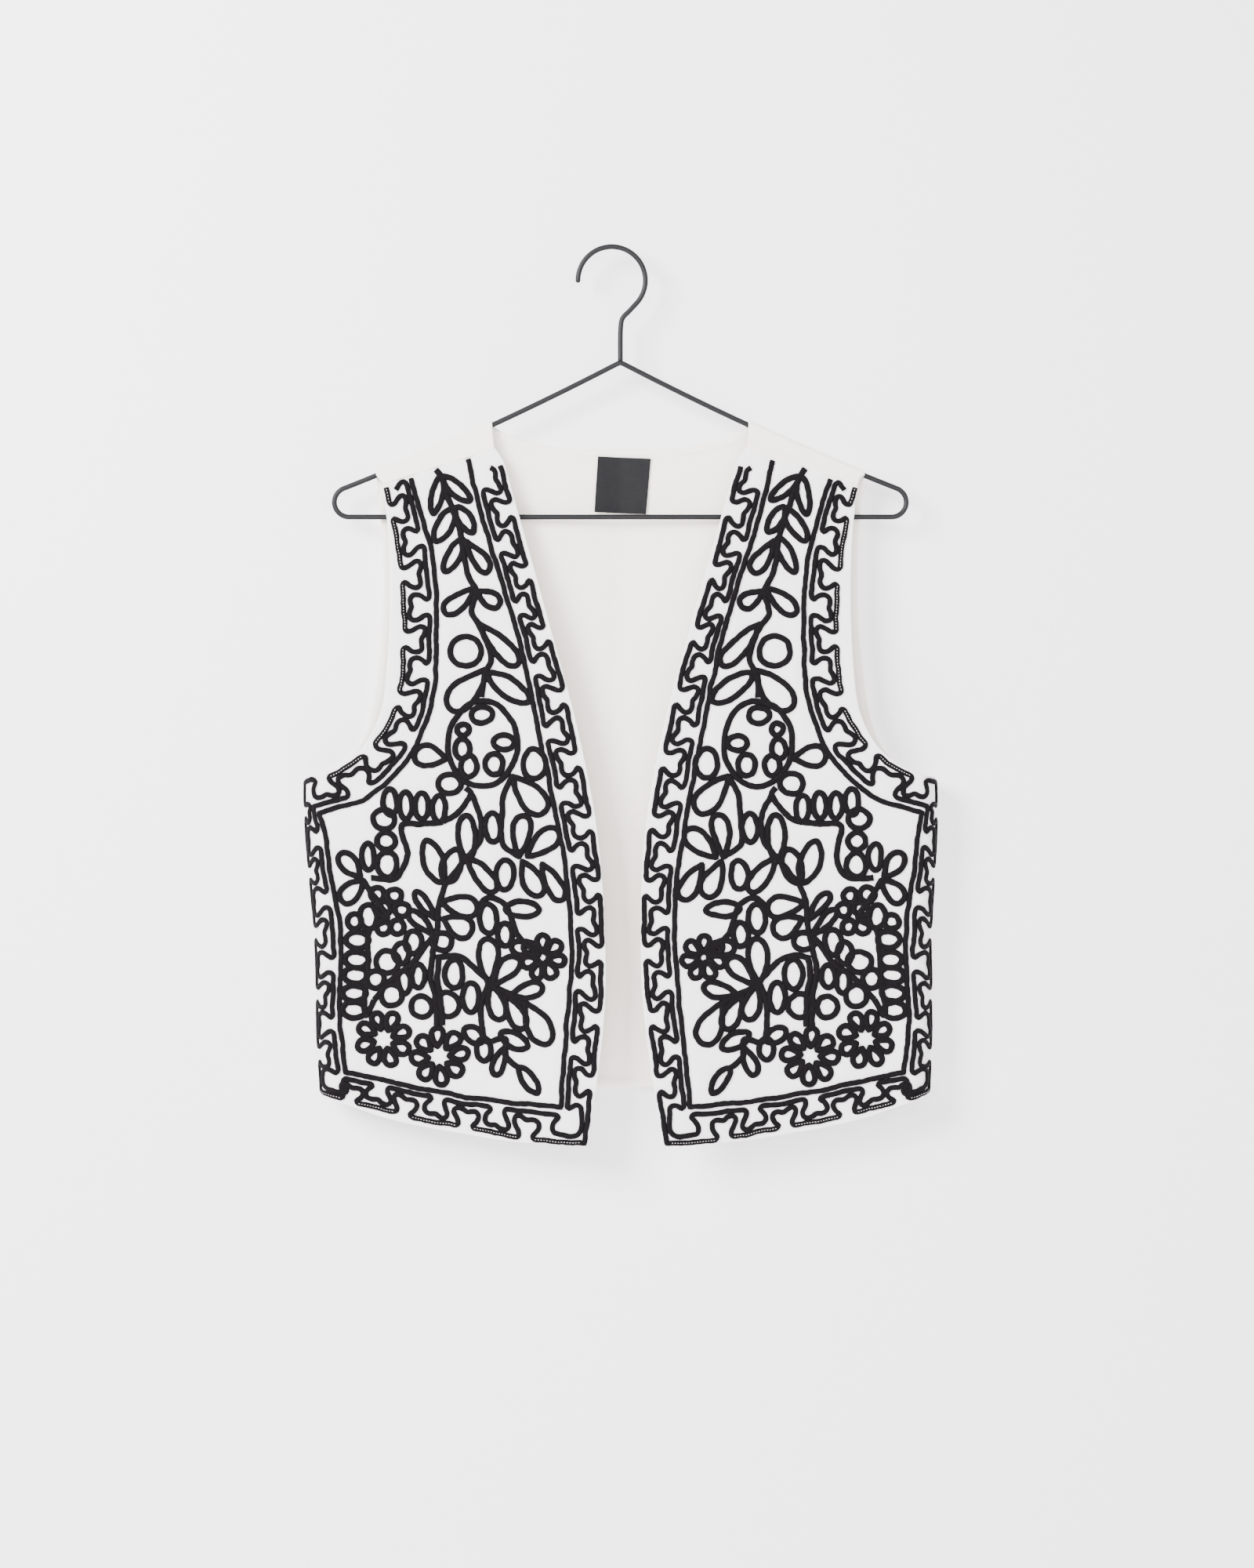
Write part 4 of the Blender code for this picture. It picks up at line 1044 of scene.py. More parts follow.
def stitch_tree():
    """Geometry nodes that set single stitches along edges."""
    web, given, result = new_group(
        "Stitch row",
        "GeometryNodeTree",
        [
            ("Geometry", "NodeSocketGeometry", None),
            ("Pitch", "NodeSocketFloat", 0.0026),
            ("Length", "NodeSocketFloat", 0.0017),
            ("Width", "NodeSocketFloat", 0.0004),
            ("Seed", "NodeSocketInt", 1),
            ("Material", "NodeSocketMaterial", None),
        ],
        [("Geometry", "NodeSocketGeometry")],
    )
    curve = web.add("GeometryNodeMeshToCurve", {"Mesh": given["Geometry"]})
    spaced = web.add(
        "GeometryNodeResampleCurve",
        {"Curve": curve.outputs[0], "Length": given["Pitch"]},
        mode="LENGTH",
    )
    normal = web.add("GeometryNodeInputNamedAttribute", {"Name": "lay"}, data_type="FLOAT_VECTOR")
    tangent = web.add("GeometryNodeInputTangent")
    turn = web.add(
        "FunctionNodeAxesToRotation",
        {"Primary Axis": normal.outputs[0], "Secondary Axis": tangent.outputs[0]},
        primary_axis="Z",
        secondary_axis="X",
    )
    stitch = web.add("GeometryNodeMeshUVSphere", {"Segments": 6, "Rings": 4, "Radius": 0.5})
    lie = web.add(
        "GeometryNodeTransform",
        {"Geometry": stitch.outputs[0], "Rotation": (0.0, math.pi / 2, 0.0)},
    )
    size = web.add(
        "ShaderNodeCombineXYZ",
        {"X": given["Length"], "Y": given["Width"], "Z": given["Width"]},
    )
    chance = web.add("FunctionNodeRandomValue", {"Seed": given["Seed"]}, data_type="FLOAT")
    chance.inputs[2].default_value = 0.82
    chance.inputs[3].default_value = 1.12
    varied = web.add(
        "ShaderNodeVectorMath",
        {0: size.outputs[0], "Scale": chance.outputs[1]},
        operation="SCALE",
    )
    placed = web.add(
        "GeometryNodeInstanceOnPoints",
        {
            "Points": spaced.outputs[0],
            "Instance": lie.outputs[0],
            "Rotation": turn.outputs[0],
            "Scale": varied.outputs[0],
        },
    )
    whole = web.add("GeometryNodeRealizeInstances", {"Geometry": placed.outputs[0]})
    smooth = web.add("GeometryNodeSetShadeSmooth", {"Geometry": whole.outputs[0]})
    painted = web.add(
        "GeometryNodeSetMaterial", {"Geometry": smooth.outputs[0], "Material": given["Material"]}
    )
    web.tree.links.new(painted.outputs[0], result[0])
    return web.tree


def lay_lines(name, lines, place, towards, lift):
    """A mesh of edges along chart lines, lifted off the cloth, with the cloth's normal stored."""
    chart = np.concatenate([np.array(line) for line, _ in lines])
    normals = surface_normals(place, chart, towards)
    positions = (place(chart) + normals * lift(chart)[:, None]) * MM
    edges, first = [], 0
    for line, closed in lines:
        count = len(line)
        edges += [(first + k, first + k + 1) for k in range(count - 1)]
        if closed:
            edges.append((first + count - 1, first))
        first += count
    mesh = bpy.data.meshes.new(name)
    mesh.from_pydata(positions.tolist(), edges, [])
    stored = mesh.attributes.new("lay", "FLOAT_VECTOR", "POINT")
    stored.data.foreach_set("vector", normals.ravel())
    made = bpy.data.objects.new(name, mesh)
    bpy.context.collection.objects.link(made)
    return made


def run_tree(ob, tree, values):
    """Runs a geometry node group on an object and keeps the result as its plain mesh."""
    modifier = ob.modifiers.new(tree.name, "NODES")
    modifier.node_group = tree
    for item in tree.interface.items_tree:
        if item.item_type == "SOCKET" and item.in_out == "INPUT" and item.name in values:
            modifier[item.identifier] = values[item.name]
    bpy.context.view_layer.update()
    graph = bpy.context.evaluated_depsgraph_get()
    made = bpy.data.meshes.new_from_object(ob.evaluated_get(graph))
    ob.modifiers.clear()
    edges = ob.data
    ob.data = made
    bpy.data.meshes.remove(edges)
    made.name = ob.name
    if values.get("Material") and not made.materials:
        made.materials.append(values["Material"])
    return ob


def finish_piece(ob, nodes=()):
    """Fastens a piece to the object and hides the parts of model.glb that it stands for."""
    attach(ob, "root")
    if nodes:
        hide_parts(*nodes)
    return ob


def weave_group():
    """Height and shade of woven threads."""
    name = "Woven threads"
    if name in bpy.data.node_groups:
        return bpy.data.node_groups[name]
    web, given, result = new_group(
        name,
        "ShaderNodeTree",
        [
            ("Vector", "NodeSocketVector", None),
            ("Threads", "NodeSocketFloat", 1800.0),
            ("Diagonal", "NodeSocketFloat", 0.5),
            ("Slub", "NodeSocketFloat", 0.5),
        ],
        [("Height", "NodeSocketFloat"), ("Shade", "NodeSocketFloat")],
    )
    split = web.add("ShaderNodeSeparateXYZ", {0: given["Vector"]})
    turns = web.math("MULTIPLY", given["Threads"], math.tau)
    warp = web.math("SINE", web.math("MULTIPLY", split.outputs[0], turns))
    weft = web.math("SINE", web.math("MULTIPLY", split.outputs[1], turns))
    both = web.math("ADD", split.outputs[0], split.outputs[1])
    line = web.math("SINE", web.math("MULTIPLY", both, web.math("MULTIPLY", turns, 0.5)))
    plain = web.math("MULTIPLY", warp, weft)
    twill = web.math("MULTIPLY", line, given["Diagonal"])
    threads = web.math("MULTIPLY_ADD", web.math("ADD", plain, twill), 0.25, 0.5)
    slubs = []
    for stretch in ((60.0, 900.0, 1.0), (900.0, 60.0, 1.0)):
        moved = web.add(
            "ShaderNodeVectorMath", {0: given["Vector"], 1: stretch}, operation="MULTIPLY"
        )
        slub = web.add("ShaderNodeTexNoise", {"Vector": moved.outputs[0], "Scale": 1.0, "Detail": 2.0})
        slubs.append(slub.outputs[0])
    thick = web.math("ADD", slubs[0], slubs[1])
    shade = web.math("MULTIPLY", thick, 0.5)
    height = web.math("MULTIPLY_ADD", web.math("SUBTRACT", shade, 0.5), given["Slub"], threads)
    web.tree.links.new(height, result["Height"])
    web.tree.links.new(shade, result["Shade"])
    return web.tree


def wear_group():
    """Soft uneven patches, as cloth, paint and coating get with handling."""
    name = "Soft patches"
    if name in bpy.data.node_groups:
        return bpy.data.node_groups[name]
    web, given, result = new_group(
        name,
        "ShaderNodeTree",
        [
            ("Vector", "NodeSocketVector", None),
            ("Scale", "NodeSocketFloat", 9.0),
            ("Seed", "NodeSocketFloat", 0.0),
        ],
        [("Patches", "NodeSocketFloat")],
    )
    patches = web.add(
        "ShaderNodeTexNoise",
        {"Vector": given["Vector"], "W": given["Seed"], "Scale": given["Scale"], "Detail": 5.0,
         "Roughness": 0.6},
        noise_dimensions="4D",
    )
    web.tree.links.new(patches.outputs[0], result["Patches"])
    return web.tree


def strand_group():
    """Height and shade of strands that run slantwise round a cord."""
    name = "Twisted strands"
    if name in bpy.data.node_groups:
        return bpy.data.node_groups[name]
    web, given, result = new_group(
        name,
        "ShaderNodeTree",
        [
            ("Run", "NodeSocketFloat", 0.0),
            ("Around", "NodeSocketFloat", 0.0),
            ("Lay", "NodeSocketFloat", 0.0022),
            ("Vector", "NodeSocketVector", None),
        ],
        [("Height", "NodeSocketFloat"), ("Fuzz", "NodeSocketFloat")],
    )
    along = web.math("DIVIDE", given["Run"], given["Lay"])
    twist = web.math("ADD", along, given["Around"])
    swing = web.math("SINE", web.math("MULTIPLY", twist, math.tau))
    strand = web.math("POWER", web.math("ABSOLUTE", swing), 0.6)
    fuzz = web.add("ShaderNodeTexNoise", {"Vector": given["Vector"], "Scale": 2600.0, "Detail": 3.0})
    web.tree.links.new(strand, result["Height"])
    web.tree.links.new(fuzz.outputs[0], result["Fuzz"])
    return web.tree


def new_material(name):
    """An empty Principled material with the web of its node tree."""
    material = bpy.data.materials.new(name)
    material.use_nodes = True
    web = Web(material.node_tree)
    return material, web, material.node_tree.nodes["Principled BSDF"]


def joined(web, socket, value):
    """Joins an output to an input."""
    web.tree.links.new(value, socket)


def use_group(web, tree, inputs):
    """The outputs of a group node in a material."""
    return web.add("ShaderNodeGroup", inputs, node_tree=tree).outputs


def blend_colours(web, share, first, second):
    """A colour between two, by a share."""
    mix = web.add("ShaderNodeMix", data_type="RGBA")
    web.tree.links.new(share, mix.inputs[0])
    for socket, colour in ((mix.inputs[6], first), (mix.inputs[7], second)):
        if isinstance(colour, bpy.types.NodeSocket):
            web.tree.links.new(colour, socket)
        else:
            socket.default_value = (*colour[:3], 1.0)
    return mix.outputs[2]


def scaled(colour, factor):
    """A colour made lighter or darker."""
    return tuple(channel * factor for channel in colour[:3])


def cotton_material(name, colour, threads, diagonal, seed):
    """Matt woven cotton."""
    material, web, shader = new_material(name)
    chart = web.add("ShaderNodeUVMap", uv_map="cloth").outputs[0]
    place = web.add("ShaderNodeTexCoord").outputs["Object"]
    weave = use_group(
        web, weave_group(), {"Vector": chart, "Threads": threads, "Diagonal": diagonal, "Slub": 1.2}
    )
    wear = use_group(web, wear_group(), {"Vector": place, "Scale": 7.0, "Seed": seed})
    fine = blend_colours(web, weave["Shade"], scaled(colour, 0.93), scaled(colour, 1.03))
    aged = blend_colours(web, wear["Patches"], (0.97, 0.965, 0.95), (1.0, 1.0, 1.0))
    tint = web.add("ShaderNodeMix", data_type="RGBA", blend_type="MULTIPLY")
    tint.inputs[0].default_value = 1.0
    joined(web, tint.inputs[6], fine)
    joined(web, tint.inputs[7], aged)
    joined(web, shader.inputs["Base Color"], tint.outputs[2])
    rough = web.math("MULTIPLY_ADD", wear["Patches"], 0.1, 0.82)
    joined(web, shader.inputs["Roughness"], rough)
    shader.inputs["Specular IOR Level"].default_value = 0.2
    shader.inputs["Sheen Weight"].default_value = 0.15
    shader.inputs["Sheen Roughness"].default_value = 0.6
    bump = web.add("ShaderNodeBump", {"Height": weave["Height"], "Strength": 0.35, "Distance": 0.0002})
    crumple = web.add(
        "ShaderNodeBump",
        {"Height": wear["Patches"], "Strength": 0.35, "Distance": 0.004, "Normal": bump.outputs[0]},
    )
    joined(web, shader.inputs["Normal"], crumple.outputs[0])
    return material


def cord_material(colour):
    """Black cord of twisted strands with a little fuzz, with painted shade in the grooves between strands
    and a painted highlight on their crests.
    """
    material, web, shader = new_material("embroidery_cord")
    run = web.add("ShaderNodeAttribute", attribute_name="run").outputs["Fac"]
    around = web.add("ShaderNodeAttribute", attribute_name="around").outputs["Fac"]
    place = web.add("ShaderNodeTexCoord").outputs["Object"]
    strands = use_group(web, strand_group(), {"Run": run, "Around": around, "Vector": place})
    fuzz = use_group(web, wear_group(), {"Vector": place, "Scale": 40.0, "Seed": 3.0})
    # Painted shade and highlight: the colour is darker in the grooves between strands and lighter on their
    # crests, varied by the fuzz noise
    lit = web.math("MULTIPLY", strands["Height"], strands["Fuzz"])
    painted_strand_shade = blend_colours(web, lit, scaled(colour, 0.45), scaled(colour, 1.7))
    faded = blend_colours(web, fuzz["Patches"], painted_strand_shade, scaled(colour, 1.2))
    joined(web, shader.inputs["Base Color"], faded)
    shader.inputs["Roughness"].default_value = 0.78
    shader.inputs["Specular IOR Level"].default_value = 0.06
    shader.inputs["Sheen Weight"].default_value = 0.03
    shader.inputs["Sheen Roughness"].default_value = 0.45
    shader.inputs["Sheen Tint"].default_value = (0.4, 0.38, 0.42, 1.0)
    rope = web.add("ShaderNodeBump", {"Height": strands["Height"], "Strength": 0.8, "Distance": 0.0005})
    hair = web.add(
        "ShaderNodeBump",
        {"Height": strands["Fuzz"], "Strength": 0.5, "Distance": 0.0003, "Normal": rope.outputs[0]},
    )
    joined(web, shader.inputs["Normal"], hair.outputs[0])
    return material


def thread_material(name, colour):
    """Sewing thread, with painted shade in the grooves of its twist."""
    material, web, shader = new_material(name)
    place = web.add("ShaderNodeTexCoord").outputs["Object"]
    twist = web.add(
        "ShaderNodeTexWave",
        {"Vector": place, "Scale": 900.0, "Distortion": 1.0, "Detail": 1.0},
        bands_direction="DIAGONAL",
    )
    # Painted shade: the colour is darker in the grooves of the twist, where the bump dips
    shade = blend_colours(web, twist.outputs["Fac"], scaled(colour, 0.8), colour)
    joined(web, shader.inputs["Base Color"], shade)
    shader.inputs["Roughness"].default_value = 0.7
    shader.inputs["Specular IOR Level"].default_value = 0.3
    bump = web.add("ShaderNodeBump", {"Height": twist.outputs["Fac"], "Strength": 0.4, "Distance": 0.0001})
    joined(web, shader.inputs["Normal"], bump.outputs[0])
    return material


def label_material(colour):
    """Black satin ribbon with fine woven ribs."""
    material, web, shader = new_material("woven_label")
    chart = web.add("ShaderNodeUVMap", uv_map="cloth").outputs[0]
    place = web.add("ShaderNodeTexCoord").outputs["Object"]
    weave = use_group(
        web, weave_group(), {"Vector": chart, "Threads": 2200.0, "Diagonal": 1.2, "Slub": 0.6}
    )
    lint = use_group(web, wear_group(), {"Vector": place, "Scale": 300.0, "Seed": 5.0})
    base = blend_colours(web, weave["Shade"], scaled(colour, 0.7), scaled(colour, 1.5))
    joined(web, shader.inputs["Base Color"], base)
    rough = web.math("MULTIPLY_ADD", lint["Patches"], 0.25, 0.5)
    joined(web, shader.inputs["Roughness"], rough)
    shader.inputs["Specular IOR Level"].default_value = 0.14
    bump = web.add("ShaderNodeBump", {"Height": weave["Height"], "Strength": 0.5, "Distance": 0.0001})
    joined(web, shader.inputs["Normal"], bump.outputs[0])
    return material


def wire_material(colour):
    """Satin black coating with a faint orange peel and rubbed spots."""
    material, web, shader = new_material("coated_wire")
    place = web.add("ShaderNodeTexCoord").outputs["Object"]
    rubbed = use_group(web, wear_group(), {"Vector": place, "Scale": 60.0, "Seed": 8.0})
    peel = web.add("ShaderNodeTexNoise", {"Vector": place, "Scale": 1400.0, "Detail": 2.0})
    shade = blend_colours(web, rubbed["Patches"], scaled(colour, 0.8), scaled(colour, 1.5))
    joined(web, shader.inputs["Base Color"], shade)
    rough = web.math("MULTIPLY_ADD", rubbed["Patches"], 0.25, 0.3)
    shader.inputs["Specular IOR Level"].default_value = 0.2
    joined(web, shader.inputs["Roughness"], rough)
    bump = web.add("ShaderNodeBump", {"Height": peel.outputs[0], "Strength": 0.15, "Distance": 0.0001})
    joined(web, shader.inputs["Normal"], bump.outputs[0])
    return material


def wall_material(colour):
    """Pale painted wall, not shown from behind."""
    material, web, shader = new_material("pale_wall")
    place = web.add("ShaderNodeTexCoord").outputs["Object"]
    patches = use_group(web, wear_group(), {"Vector": place, "Scale": 1.6, "Seed": 2.0})
    grain = web.add("ShaderNodeTexNoise", {"Vector": place, "Scale": 260.0, "Detail": 4.0})
    shade = blend_colours(web, patches["Patches"], scaled(colour, 0.985), scaled(colour, 1.01))
    joined(web, shader.inputs["Base Color"], shade)
    shader.inputs["Roughness"].default_value = 0.9
    shader.inputs["Specular IOR Level"].default_value = 0.1
    bump = web.add("ShaderNodeBump", {"Height": grain.outputs[0], "Strength": 0.1, "Distance": 0.0004})
    joined(web, shader.inputs["Normal"], bump.outputs[0])
    facing = web.add("ShaderNodeNewGeometry").outputs["Backfacing"]
    clear = web.add("ShaderNodeBsdfTransparent")
    mix = web.add("ShaderNodeMixShader", {0: facing, 1: shader.outputs[0], 2: clear.outputs[0]})
    output = material.node_tree.nodes["Material Output"]
    joined(web, output.inputs["Surface"], mix.outputs[0])
    return material


class VestClothSettings(bpy.types.PropertyGroup):
    """The cloth of the vest."""

    thickness: bpy.props.FloatProperty(
        name="Cloth thickness",
        description="Thickness of the cotton with its facing",
        default=0.0012,
        unit="LENGTH",
    )
    spacing: bpy.props.FloatProperty(
        name="Mesh spacing",
        description="Distance between the points of the cloth's mesh",
        default=0.0032,
        unit="LENGTH",
    )
    pucker: bpy.props.FloatProperty(
        name="Pucker",
        description="How far the cloth stands out between the cords that hold it",
        default=0.0008,
        unit="LENGTH",
    )
    front_colour: bpy.props.FloatVectorProperty(
        name="Front colour",
        description="Colour of the two embroidered fronts",
        default=(0.84, 0.82, 0.815),
        subtype="COLOR",
        size=3,
    )
    back_colour: bpy.props.FloatVectorProperty(
        name="Back colour",
        description="Colour of the back and the shoulder strips",
        default=(0.9, 0.84, 0.77),
        subtype="COLOR",
        size=3,
    )
    thread_colour: bpy.props.FloatVectorProperty(
        name="Thread colour",
        description="Colour of the sewing thread",
        default=(0.86, 0.85, 0.82),
        subtype="COLOR",
        size=3,
    )


class VestCordSettings(bpy.types.PropertyGroup):
    """The embroidery cord."""

    width: bpy.props.FloatProperty(
        name="Cord width",
        description="Width of the laid cord of the flowers",
        default=0.0048,
        unit="LENGTH",
    )
    border_width: bpy.props.FloatProperty(
        name="Border cord width",
        description="Width of the laid cord of the border",
        default=0.0042,
        unit="LENGTH",
    )
    height: bpy.props.FloatProperty(
        name="Cord height",
        description="Height of the flattened cord",
        default=0.0024,
        unit="LENGTH",
    )
    step: bpy.props.FloatProperty(
        name="Cord step",
        description="Distance between the points along a cord",
        default=0.0013,
        unit="LENGTH",
    )
    unevenness: bpy.props.FloatProperty(
        name="Unevenness",
        description="How much the cord's width changes along it",
        default=0.16,
        subtype="FACTOR",
    )
    colour: bpy.props.FloatVectorProperty(
        name="Cord colour",
        description="Colour of the cord",
        default=(0.0042, 0.0034, 0.0042),
        subtype="COLOR",
        size=3,
    )


class VestLabelSettings(bpy.types.PropertyGroup):
    """The folded neck label."""

    layer: bpy.props.FloatProperty(
        name="Ribbon thickness",
        description="Thickness of one layer of the label's ribbon",
        default=0.00035,
        unit="LENGTH",
    )
    colour: bpy.props.FloatVectorProperty(
        name="Label colour",
        description="Colour of the woven ribbon",
        default=(0.005, 0.005, 0.006),
        subtype="COLOR",
        size=3,
    )


class VestHangerSettings(bpy.types.PropertyGroup):
    """The wire hanger."""

    radius: bpy.props.FloatProperty(
        name="Wire radius",
        description="Half the thickness of the coated wire",
        default=0.002,
        unit="LENGTH",
    )
    sides: bpy.props.IntProperty(
        name="Wire sides",
        description="Number of points round the wire",
        default=20,
    )
    colour: bpy.props.FloatVectorProperty(
        name="Coating colour",
        description="Colour of the wire's coating",
        default=(0.005, 0.005, 0.006),
        subtype="COLOR",
        size=3,
    )


class VestStageSettings(bpy.types.PropertyGroup):
    """The wall, the floor, the light and the camera."""

    wall_gap: bpy.props.FloatProperty(
        name="Wall distance",
        description="How far the wall lies behind the hanger",
        default=0.021,
        unit="LENGTH",
    )
    distance: bpy.props.FloatProperty(
        name="Camera distance",
        description="How far the camera stands before the hanger",
        default=2.55,
        unit="LENGTH",
    )
    power: bpy.props.FloatProperty(
        name="Main light",
        description="Power of the main light",
        default=205.0,
        unit="POWER",
    )
    wall_colour: bpy.props.FloatVectorProperty(
        name="Wall colour",
        description="Colour of the wall and the floor",
        default=(0.875, 0.855, 0.88),
        subtype="COLOR",
        size=3,
    )


def no_extra(chart):
    """A cloth that is as thick everywhere."""
    return np.zeros(len(chart)), np.zeros(len(chart))


class VEST_OT_fronts(bpy.types.Operator):
    """Builds the two embroidered fronts"""

    bl_idname = "vest.fronts"
    bl_label = "Embroidered fronts"

    def execute(self, context):
        cloth_set, cord_set = context.scene.vest_cloth, context.scene.vest_cord
        cloth = cotton_material("embroidered_cotton", cloth_set.front_colour, 1700.0, 1.1, 1.0)
        black = cord_material(cord_set.colour)
        white = thread_material("white_thread", cloth_set.thread_colour)
        trees = cord_tree(), stitch_tree()
        for panel, side, seed in (("front_left", -1.0, 11), ("front_right", 1.0, 29)):
            self.front(panel, side, seed, cloth_set, cord_set, (cloth, black, white), trees)
        return {"FINISHED"}

    def front(self, panel, side, seed, cloth_set, cord_set, materials, trees):
        """One front: its cloth, its border and flower cords, and the stitches on them."""
        cloth, black, white = materials
        half = cloth_set.thickness / MM / 2
        step = cord_set.step / MM
        runs = front_runs()
        seam_top, seam_end = [np.array(corner) for corner in SHOULDER_SEAM]
        seam = [seam_end + (seam_top - seam_end) * k / 30 for k in range(31)]
        runs["armhole"][-1] = seam[0]
        runs["opening"][0] = seam[-1]
        outline = []
        for line in (runs["opening"], runs["hem"], runs["side"], runs["armhole"], seam):
            outline += line[:-1]
        place = front_surface(panel, side)
        border, motifs = border_lines(seed, step), motif_lines(seed, step)
        laid = np.concatenate([line for line, _ in border + motifs])

        def wrinkles(chart):
            broad = 0.5 * noise_at(chart, 0.018, seed + 5) + 0.22 * noise_at(chart, 0.06, seed + 6)
            calm = smooth_step((chart[:, 1] - 165.0) / 40.0)
            return calm * (broad - fold_depth(CREASES[panel], chart[:, 0], chart[:, 1]))

        def relief(chart):
            near = nearest_distances(laid, chart)
            swell = smooth_step((near - 2.2) / 6.0) * cloth_set.pucker / MM
            ripple = 0.16 * noise_at(chart, 0.17, seed + 7) * smooth_step((near - 1.2) / 3.0)
            return wrinkles(chart) + swell + ripple

        shape = cloth_piece(
            panel + "_cloth", outline, place, -side, relief, no_extra, [],
            2 * half, cloth_set.spacing / MM, cloth,
        )
        finish_piece(shape, (panel,))
        rise = half + CORD_REST * cord_set.height / MM
        sorts = (
            ("border", border, cord_set.border_width),
            ("flowers", motifs, cord_set.width),
        )
        for label, lines, width in sorts:
            cord = lay_lines(
                f"{panel}_{label}", lines, place, -side, lambda chart: rise + wrinkles(chart)
            )
            values = {
                "Width": width,
                "Height": cord_set.height,
                "Sides": 8,
                "Unevenness": cord_set.unevenness,
                "Seed": float(seed),
                "Material": black,
            }
            finish_piece(run_tree(cord, trees[0], values))
        rows = []
        for run, path in zip(RUNS, border_paths(OUTER_LINE, PATH_STEP)):
            stops = (0.0,) + run.middles + (path.length,)
            for before, after in zip(stops, stops[1:]):
                start = before + (STITCH_FROM_KEY if before > 0.0 else STITCH_FROM_CORNER)
                end = after - (STITCH_FROM_KEY if after < path.length else STITCH_FROM_CORNER)
                if end - start > STITCH_FROM_KEY and run.name != "opening":
                    shares = np.linspace(start, end, STITCH_ROW_POINTS) / path.length
                    rows.append((by_hand([path.at(share) for share in shares], seed), False))
        top = rise + 0.5 * cord_set.height / MM
        sewn = lay_lines(
            panel + "_stitches", rows, place, -side, lambda chart: top + wrinkles(chart)
        )
        values = {"Pitch": 0.0021, "Length": 0.0011, "Width": 0.00036, "Seed": seed, "Material": white}
        finish_piece(run_tree(sewn, trees[1], values))


